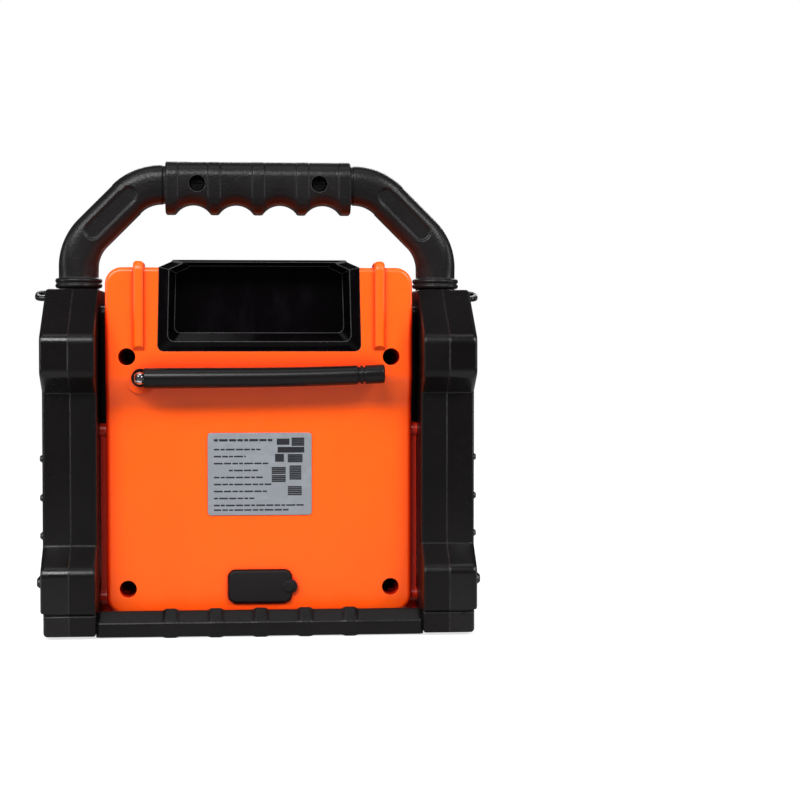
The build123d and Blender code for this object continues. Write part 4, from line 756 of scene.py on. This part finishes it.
# ------------ carrying handle
@dataclass
class Elbow:
    """One bent end of the carrying handle, with its collars and long recesses."""

    side: Side
    leg_x: float = 87.3 * MM
    root_z: float = 159.0 * MM
    leg_corner_z: float = 180.1 * MM
    arm_corner_x: float = 56.9 * MM
    arm_z: float = 210.8 * MM
    end_x: float = 45.05 * MM
    bend_r: float = 24.0 * MM
    half: float = 9.65 * MM
    squareness: float = 2.9
    collar_zs: tuple[float, float] = (161.4 * MM, 163.8 * MM)
    collar_major: float = 10.05 * MM
    collar_r: float = 1.3 * MM
    neck: float = 1.5 * MM
    neck_full: float = 0.7              # the share of it that is at full depth
    neck_depth: float = 0.35 * MM
    slot_half_length: float = 12.25 * MM
    slot_shift: float = 0.92 * MM
    slot_r: float = 3.95 * MM
    slot_wall: float = 0.35 * MM
    slot_floor: float = 8.4 * MM
    leg_pitch: float = 0.16 * MM
    bend_pitch: float = 0.5 * MM
    arm_pitch: float = 0.3 * MM
    square_from: float = 2 * MM         # above the upper collar, where the tube turns squarer
    points: int = 120

    def route(self) -> list[tuple[float, float, float]]:
        """The middle line: X and Z of each point, and its heading from +Z towards the grip."""
        turn = math.pi / 4
        reach = self.bend_r * math.tan(turn / 2)
        diagonal = math.cos(turn)
        low, high = (self.leg_x, self.leg_corner_z), (self.arm_corner_x, self.arm_z)
        line = [(self.leg_x, z, 0.0) for z in steps(self.root_z, low[1] - reach, self.leg_pitch)]
        for corner, heading in ((low, 0.0), (high, turn)):
            ahead = (-math.sin(heading), math.cos(heading))
            start = (corner[0] - ahead[0] * reach, corner[1] - ahead[1] * reach)
            hub = (start[0] - ahead[1] * self.bend_r, start[1] + ahead[0] * self.bend_r)
            for bend in steps(0, turn, self.bend_pitch / self.bend_r):
                angle = heading + bend
                line.append((hub[0] + self.bend_r * math.cos(angle),
                             hub[1] + self.bend_r * math.sin(angle), angle))
            if heading == 0.0:
                x, z, _ = line[-1]
                line += [(x - s * diagonal, z + s * diagonal, turn)
                         for s in steps(0, math.dist(low, high) - 2 * reach, self.bend_pitch)[1:-1]]
        ends = steps(line[-1][0], self.end_x, self.arm_pitch)
        return line + [(x, self.arm_z, 2 * turn) for x in ends[1:]]

    def swell(self, x: float, z: float) -> float:
        """How far the section stands out from the tube: collars at the root, a neck at the grip."""
        out = 0.0
        for collar_z in self.collar_zs:
            if abs(z - collar_z) < self.collar_r:
                ring = self.collar_major + math.sqrt(self.collar_r ** 2 - (z - collar_z) ** 2)
                out = max(out, ring - self.half)
        neck = smooth_step(x, self.end_x + self.neck, self.end_x + self.neck_full * self.neck)
        return out - self.neck_depth * neck

    def recess(self, x: float, z: float) -> float:
        """1 inside the long recess and 0 outside it."""
        diagonal = math.cos(math.pi / 4)
        away_x = x - (self.leg_x + self.arm_corner_x) / 2 + self.slot_shift
        away_z = z - (self.leg_corner_z + self.arm_z) / 2 - self.slot_shift
        along = (away_z - away_x) * diagonal
        across = (away_x + away_z) * diagonal
        beyond = max(0.0, abs(along) - self.slot_half_length)
        gap = math.hypot(beyond, across) - self.slot_r
        return smooth_step(gap, self.slot_wall, -self.slot_wall)

    def ring(self, x: float, z: float, heading: float) -> Ring:
        """The section at one point of the route."""
        share = smooth_step(z, self.collar_zs[1] + self.square_from, self.leg_corner_z)
        square = 2 + (self.squareness - 2) * share
        half = self.half + self.swell(x, z)
        points = []
        for index in range(self.points):
            turn = 2 * math.pi * index / self.points
            out, deep = math.cos(turn), math.sin(turn)
            reach = half / (abs(out) ** square + abs(deep) ** square) ** (1 / square)
            across, y = out * reach, deep * reach
            px, pz = x + across * math.cos(heading), z + across * math.sin(heading)
            if abs(y) > self.slot_floor:
                sunk = self.recess(px, pz)
                y = math.copysign(abs(y) + (self.slot_floor - abs(y)) * sunk, y)
            points.append(Vector((self.side.value * px, y, pz)))
        return points

    def build(self) -> None:
        """Lofts the elbow along its route."""
        name = self.side.name.lower() + "_elbow"
        rings = [self.ring(*place) for place in self.route()]
        Shape().loft(rings).place(name + "_moulding", HANDLE, "handle_plastic", "radio", name,
                                  crease=60)


@dataclass
class Grip:
    """One half of the ribbed grip, with finger scallops below and two screw wells."""

    face: Face
    half_length: float = 45.0 * MM
    half_depth: float = 11.6 * MM
    top: float = 221.9 * MM
    bottom: float = 196.3 * MM
    corner_r: float = 8.0 * MM
    least_height: float = 2.4           # in corner radii
    band_xs: tuple[float, ...] = (-42.0 * MM, -21.4 * MM, 0.0, 21.4 * MM, 42.0 * MM)
    band_half: float = 3.0 * MM
    band_proud: float = 0.8 * MM
    band_flank: float = 0.9 * MM
    scallop_xs: tuple[float, ...] = (-31.7 * MM, -10.7 * MM, 10.7 * MM, 31.7 * MM)
    scallop_r: float = 10.2 * MM
    scallop_top: float = 201.0 * MM
    scallop_soft: float = 0.5 * MM
    scallop_drop: float = 0.03 * MM
    end_round: float = 0.8 * MM
    tuck_share: float = 0.8
    seam: float = 0.3 * MM              # rounding along the seam between the halves
    seam_gap: float = 0.02 * MM         # each half's distance from the seam's middle
    well_x: float = 29.6 * MM
    well_z: float = 210.8 * MM
    well_r: float = 3.9 * MM
    well_floor: float = 6.6 * MM
    front_hole_r: float = 1.4 * MM
    front_hole_floor: float = 9.5 * MM
    hole_points: int = 48
    pitch: float = 0.35 * MM
    arc: int = 12

    def band(self, x: float) -> float:
        """How far the bands stand proud at x."""
        gap = min(abs(x - band) for band in self.band_xs)
        flank = self.band_flank / 2
        return self.band_proud * smooth_step(gap, self.band_half + flank, self.band_half - flank)

    def underside(self, x: float) -> float:
        """Height of the underside at x, where the scallops blend into the flats."""
        away = min(abs(x - scallop) for scallop in self.scallop_xs)
        if away >= self.scallop_r:
            return self.bottom
        arch = self.scallop_top - self.scallop_r + math.sqrt(self.scallop_r ** 2 - away ** 2)
        over = arch - self.bottom
        blend = 0.5 * (over + math.sqrt(over ** 2 + self.scallop_soft ** 2))
        return self.bottom + blend - self.scallop_drop

    def ring(self, x: float) -> Ring:
        """Half of the section at x, closed along the seam."""
        share = smooth_step(abs(x), self.half_length - self.end_round, self.half_length)
        tuck = self.end_round * (1 - math.sqrt(max(0.0, 1 - share ** 2))) * self.tuck_share
        top, bottom = self.top - tuck, self.underside(x) + tuck
        depth = self.half_depth + self.band(x) - tuck
        radius = min(self.corner_r, (top - bottom) / self.least_height)
        corners = [(depth, bottom), (depth, top), (0.0, top), (0.0, bottom)]
        outline = rounded(corners, [radius, radius, self.seam, self.seam], self.arc)
        spread = []
        for index, (y, z) in enumerate(outline):
            after = outline[(index + 1) % len(outline)]
            spread.append((y, z))
            spread.append(((y + after[0]) / 2, (z + after[1]) / 2))
        return [Vector((x, self.face.value * (y + self.seam_gap), z)) for y, z in spread]

    def build(self) -> None:
        """Lofts the half along X and sinks its screw wells."""
        name = "grip_" + self.face.name.lower()
        places = steps(-self.half_length, self.half_length, self.pitch)
        shape = Shape().loft([self.ring(x) for x in places])
        if self.face is Face.REAR:
            radius, floor = self.well_r, self.well_floor
        else:
            radius, floor = self.front_hole_r, self.front_hole_floor
        depths = self.face.value * floor, self.face.value * 2 * self.half_depth
        rims = [circle(radius, self.hole_points, (side.value * self.well_x, self.well_z))
                for side in Side]
        wells = [Shape().slab(rim, *depths) for rim in rims]
        shape.cut(*wells).place(name + "_moulding", HANDLE, "handle_plastic", "radio", name,
                                crease=50)


# ------------ ground bars
@dataclass
class GroundBar:
    """A ribbed bar between the feet of the guards."""

    face: Face
    half_length: float = 75.45 * MM
    far_y: float = 63.0 * MM
    depth: float = 13.0 * MM
    bottom: float = -1.9 * MM
    top: float = 9.9 * MM
    top_fall: float = 1.3 * MM
    chamfer: float = 5.2 * MM
    edge_r: float = 1.6 * MM
    near_low_r: float = 0.4 * MM
    near_top_r: float = 0.8 * MM
    rib_xs: tuple[float, ...] = (-41.4 * MM, -20.7 * MM, 0.0, 20.7 * MM, 41.4 * MM)
    rib_foot: float = 4.1 * MM
    rib_crest: float = 1.9 * MM
    rib_proud: float = 1.0 * MM
    rib_far: float = 0.6                # its share on the far face
    rib_low: float = 0.4                # and on the underside
    end_round: float = 2.2 * MM
    tuck_share: float = 0.5
    pitch: float = 0.4 * MM

    def ring(self, x: float) -> Ring:
        """The bar's section at x, swollen where a rib crosses and tucked in at the ends."""
        gap = min(abs(x - rib) for rib in self.rib_xs)
        proud = self.rib_proud * smooth_step(gap, self.rib_foot, self.rib_crest)
        share = smooth_step(abs(x), self.half_length - self.end_round, self.half_length)
        tuck = self.end_round * share ** 2 * self.tuck_share
        near, far = self.far_y - self.depth - proud, self.far_y + self.rib_far * proud - tuck
        top, bottom = self.top + proud - tuck, self.bottom - self.rib_low * proud
        corners = [(near, bottom), (far, bottom), (far, self.top - self.chamfer),
                   (self.far_y - self.chamfer + proud - tuck, top), (near, top - self.top_fall)]
        radii = [self.near_low_r, self.edge_r, self.edge_r, self.edge_r, self.near_top_r]
        return [Vector((x, self.face.value * y, z)) for y, z in rounded(corners, radii)]

    def build(self) -> None:
        """Lofts the bar along X."""
        name = self.face.name.lower() + "_bar"
        rings = [self.ring(x) for x in steps(-self.half_length, self.half_length, self.pitch)]
        Shape().loft(rings).place(name + "_moulding", BAR, "bar_plastic", "radio", name,
                                  crease=50)


# ------------ antenna
@dataclass
class Whip:
    """The rubber-covered antenna rod, folded flat across the back, and its cap.

    Lengths along the rod are measured from the pivot.
    """

    pivot: tuple[float, float, float] = (55.5 * MM, 53.2 * MM, 117.2 * MM)
    rise: float = 0.9
    start: float = 1.8 * MM
    cup_floor: float = 3.15 * MM
    cup_r: float = 3.25 * MM
    cup_overrun: float = 0.2 * MM
    cap_start: float = 101.1 * MM
    tip: float = 113.7 * MM
    root_r: float = 4.85 * MM
    tip_r: float = 4.4 * MM
    edge_r: float = 0.8 * MM
    bend_from: float = 50.0 * MM
    bend: float = 1.3 * MM
    sag: float = 0.0096
    joint_r: float = 0.3 * MM
    joint_gap: float = 0.02 * MM
    joint_proud: float = 0.03 * MM
    cap_r: float = 1.1 * MM
    groove_depth: float = 0.75 * MM
    groove_width: float = 1.0 * MM
    groove_flank: float = 0.15 * MM
    grooves: tuple[float, ...] = (0.2 * MM, 2.5 * MM)
    cutter_half: float = 8 * MM
    pitch: float = 2 * MM
    points: int = 64
    arc: int = 6

    def radius(self, reach: float) -> float:
        """The taper's radius at a distance from the pivot."""
        return self.root_r + (self.tip_r - self.root_r) * reach / self.tip

    def ring(self, reach: float, radius: float) -> Ring:
        """A circle square to the rod at a distance from the pivot."""
        lean = math.radians(self.rise)
        along = Vector((-math.cos(lean), 0, math.sin(lean)))
        up = Vector((math.sin(lean), 0, math.cos(lean)))
        bent = max(0.0, reach - self.bend_from) / (self.tip - self.bend_from)
        lift = self.bend * bent ** 2 - self.sag * reach
        middle = Vector(self.pivot) + along * reach + up * lift
        return [middle + Vector((0, y, 0)) + up * z for y, z in circle(radius, self.points)]

    def rounded_end(self, end: float, inwards: int, radius: float, soft: float) -> list[Point]:
        """The rings that round one end.

        Args:
            end: the end's distance from the pivot.
            inwards: the way into the rod, 1 or -1.
            radius, soft: the radius of the rod and of the rounding.

        Returns:
            Reach and radius of each ring, from the end's face inwards.
        """
        quarter = [math.pi / 2 * index / self.arc for index in range(self.arc + 1)]
        return [(end + inwards * soft * (1 - math.cos(turn)), radius - soft * (1 - math.sin(turn)))
                for turn in quarter]

    def sleeve(self) -> None:
        """Lofts the rubber sleeve and opens its root, a half cup round the knuckle."""
        rings = self.rounded_end(self.start, 1, self.radius(self.start), self.edge_r)
        rings += [(reach, self.radius(reach)) for reach in
                  steps(self.start + 2 * self.edge_r, self.cap_start - self.pitch / 2, self.pitch)]
        rings += self.rounded_end(self.cap_start - self.joint_gap, -1,
                                  self.tip_r + self.joint_proud, self.joint_r)[::-1]
        rod = Shape().loft([self.ring(*ring) for ring in rings])
        cup_reaches = (self.start - self.cup_overrun, self.cup_floor)
        cup = Shape().loft([self.ring(reach, self.cup_r) for reach in cup_reaches])
        x, y, z = self.pivot
        half = box_corners(x - self.cup_floor, z - self.cutter_half, x, z + self.cutter_half)
        near_half = Shape().slab(half, y - self.cutter_half, y)
        rod.cut(cup, near_half).place("whip_sleeve", WHIP_RUBBER, "antenna_rubber",
                                      "antenna_whip_body", "antenna_whip", crease=40)

    def cap(self) -> None:
        """Lofts the grooved cap."""
        bed = self.tip_r - self.groove_depth
        rings = [(self.cap_start, bed)]
        for groove in self.grooves:
            low, high = self.cap_start + groove, self.cap_start + groove + self.groove_width
            rings += [(low - self.groove_flank, self.tip_r), (low, bed),
                      (high, bed), (high + self.groove_flank, self.tip_r)]
        rings += self.rounded_end(self.tip, -1, self.tip_r, self.cap_r)[::-1]
        Shape().loft([self.ring(*ring) for ring in rings]).place(
            "whip_cap", WHIP_RUBBER, "antenna_rubber", "antenna_whip_body", "antenna_cap",
            crease=30)

    def build(self) -> None:
        """Makes the sleeve and the cap."""
        self.sleeve()
        self.cap()


# ------------ rating label
@dataclass
class LabelRules:
    """Plain ruled lines and blocks of lines on the rating label, in place of words.

    Rows and blocks are in millimetres from the label's middle: where each starts on its left,
    its height and its length, and for a block how tall it is.
    """

    rows: tuple[tuple[float, float, float], ...] = (
        (-21.6, 16.0, 27.5), (-21.6, 11.6, 22.0), (-21.6, 8.3, 15.0), (-21.6, 5.0, 26.0),
        (-14.6, 1.7, 14.0), (-21.6, -1.6, 23.0), (-21.6, -4.9, 27.0), (-21.6, -8.2, 25.0),
        (-21.6, -11.5, 19.0), (-21.6, -14.8, 43.2), (-21.6, -17.0, 36.0))
    blocks: tuple[tuple[float, float, float, float], ...] = (
        (8.0, 15.2, 6.0, 2.2), (15.0, 15.2, 6.0, 3.2), (8.4, 11.4, 12.6, 2.0), (7.2, 7.6, 4.2, 3.0),
        (13.2, 7.4, 7.0, 3.2), (5.6, 1.6, 6.6, 2.6), (5.6, -2.2, 6.6, 2.6), (14.0, 0.6, 5.6, 6.0),
        (13.2, -8.0, 6.6, 3.6))
    heavy: float = 1.1 * MM
    light: float = 0.75 * MM
    word: float = 3.4 * MM
    least_word: float = 0.55
    word_growth: float = 0.225
    space: float = 0.55 * MM
    relief: float = 0.025 * MM
    block_pitch: float = 1.0 * MM

    def stretch(self, number: int, place: int) -> float:
        """Length of one stretch of a row, by the row's number and the stretch's place in it."""
        return self.word * (self.least_word + self.word_growth * ((number * 5 + place * 3) % 4))

    def build(self) -> None:
        """Lays one thin bar for each stretch of a row and each line of a block."""
        low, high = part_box("rating_label")
        middle_x, middle_z = (low.x + high.x) / 2, (low.z + high.z) / 2 - STAND
        shape = Shape()

        def bar(x: float, z: float, length: float, thickness: float) -> None:
            """Lays one bar to the right of x, as the rear is seen, at height z."""
            corners = box_corners(x - length, z - thickness / 2, x, z + thickness / 2)
            shape.slab(corners, high.y, high.y + self.relief)

        for number, (left, height, length) in enumerate(self.rows):
            thickness = self.heavy if number == 0 else self.light
            start, end = -left * MM, (-left - length) * MM
            place = 0
            while start - end > self.space:
                run = min(start - end, self.stretch(number, place))
                bar(middle_x + start, middle_z + height * MM, run, thickness)
                start -= run + self.space
                place += 1
        for left, height, length, tall in self.blocks:
            x, z = middle_x - left * MM, middle_z + height * MM
            for line_z in steps(z - tall * MM / 2, z + tall * MM / 2, self.block_pitch):
                bar(x, line_z, length * MM, self.light)
        shape.place("label_rules", INK, "label_silver", "radio")


# ------------ case corners
@dataclass
class CornerWeb:
    """The low web that closes the gap between the case, the guard's foot and the bar."""

    side: Side
    inner_x: float = 62.0 * MM
    outer_x: float = 78.0 * MM
    low_z: float = 1.0 * MM
    high_z: float = 15.0 * MM
    near_y: float = 22.0 * MM
    far_y: float = 25.0 * MM
    corner_r: float = 1.0 * MM

    def build(self) -> None:
        """Makes one rounded plate behind the case's corner."""
        corners = box_corners(self.inner_x, self.low_z, self.outer_x, self.high_z)
        outline = [(self.side.value * x, z) for x, z in rounded(corners, self.corner_r)]
        name = self.side.name.lower() + "_corner_web"
        Shape().slab(outline, self.near_y, self.far_y).place(name, ORANGE, "case_orange", "radio")


# ------------ other pieces
def dress_nodes() -> None:
    """Gives every node of the construction model the finish of its material slot."""
    for material in frame["record"]["materials"]:
        LOG.info("slot %s: %s", material["slot"], SLOT_FINISHES[material["slot"]].name)
    for node in frame["nodes"].values():
        for place, used in enumerate(node.material_slots):
            slot = used.material.name.split(".")[0]
            node.material_slots[place].material = SLOT_FINISHES[slot].material()


def main() -> None:
    """Builds the studio and dresses the radio, piece by piece."""
    logging.basicConfig(level=logging.INFO, format="%(name)s: %(message)s")
    Studio().build()
    dress_nodes()
    for side in Side:
        Elbow(side).build()
        CornerWeb(side).build()
    for face in Face:
        Grip(face).build()
        GroundBar(face).build()
    Whip().build()
    LabelRules().build()


if __name__ == "__main__":
    main()
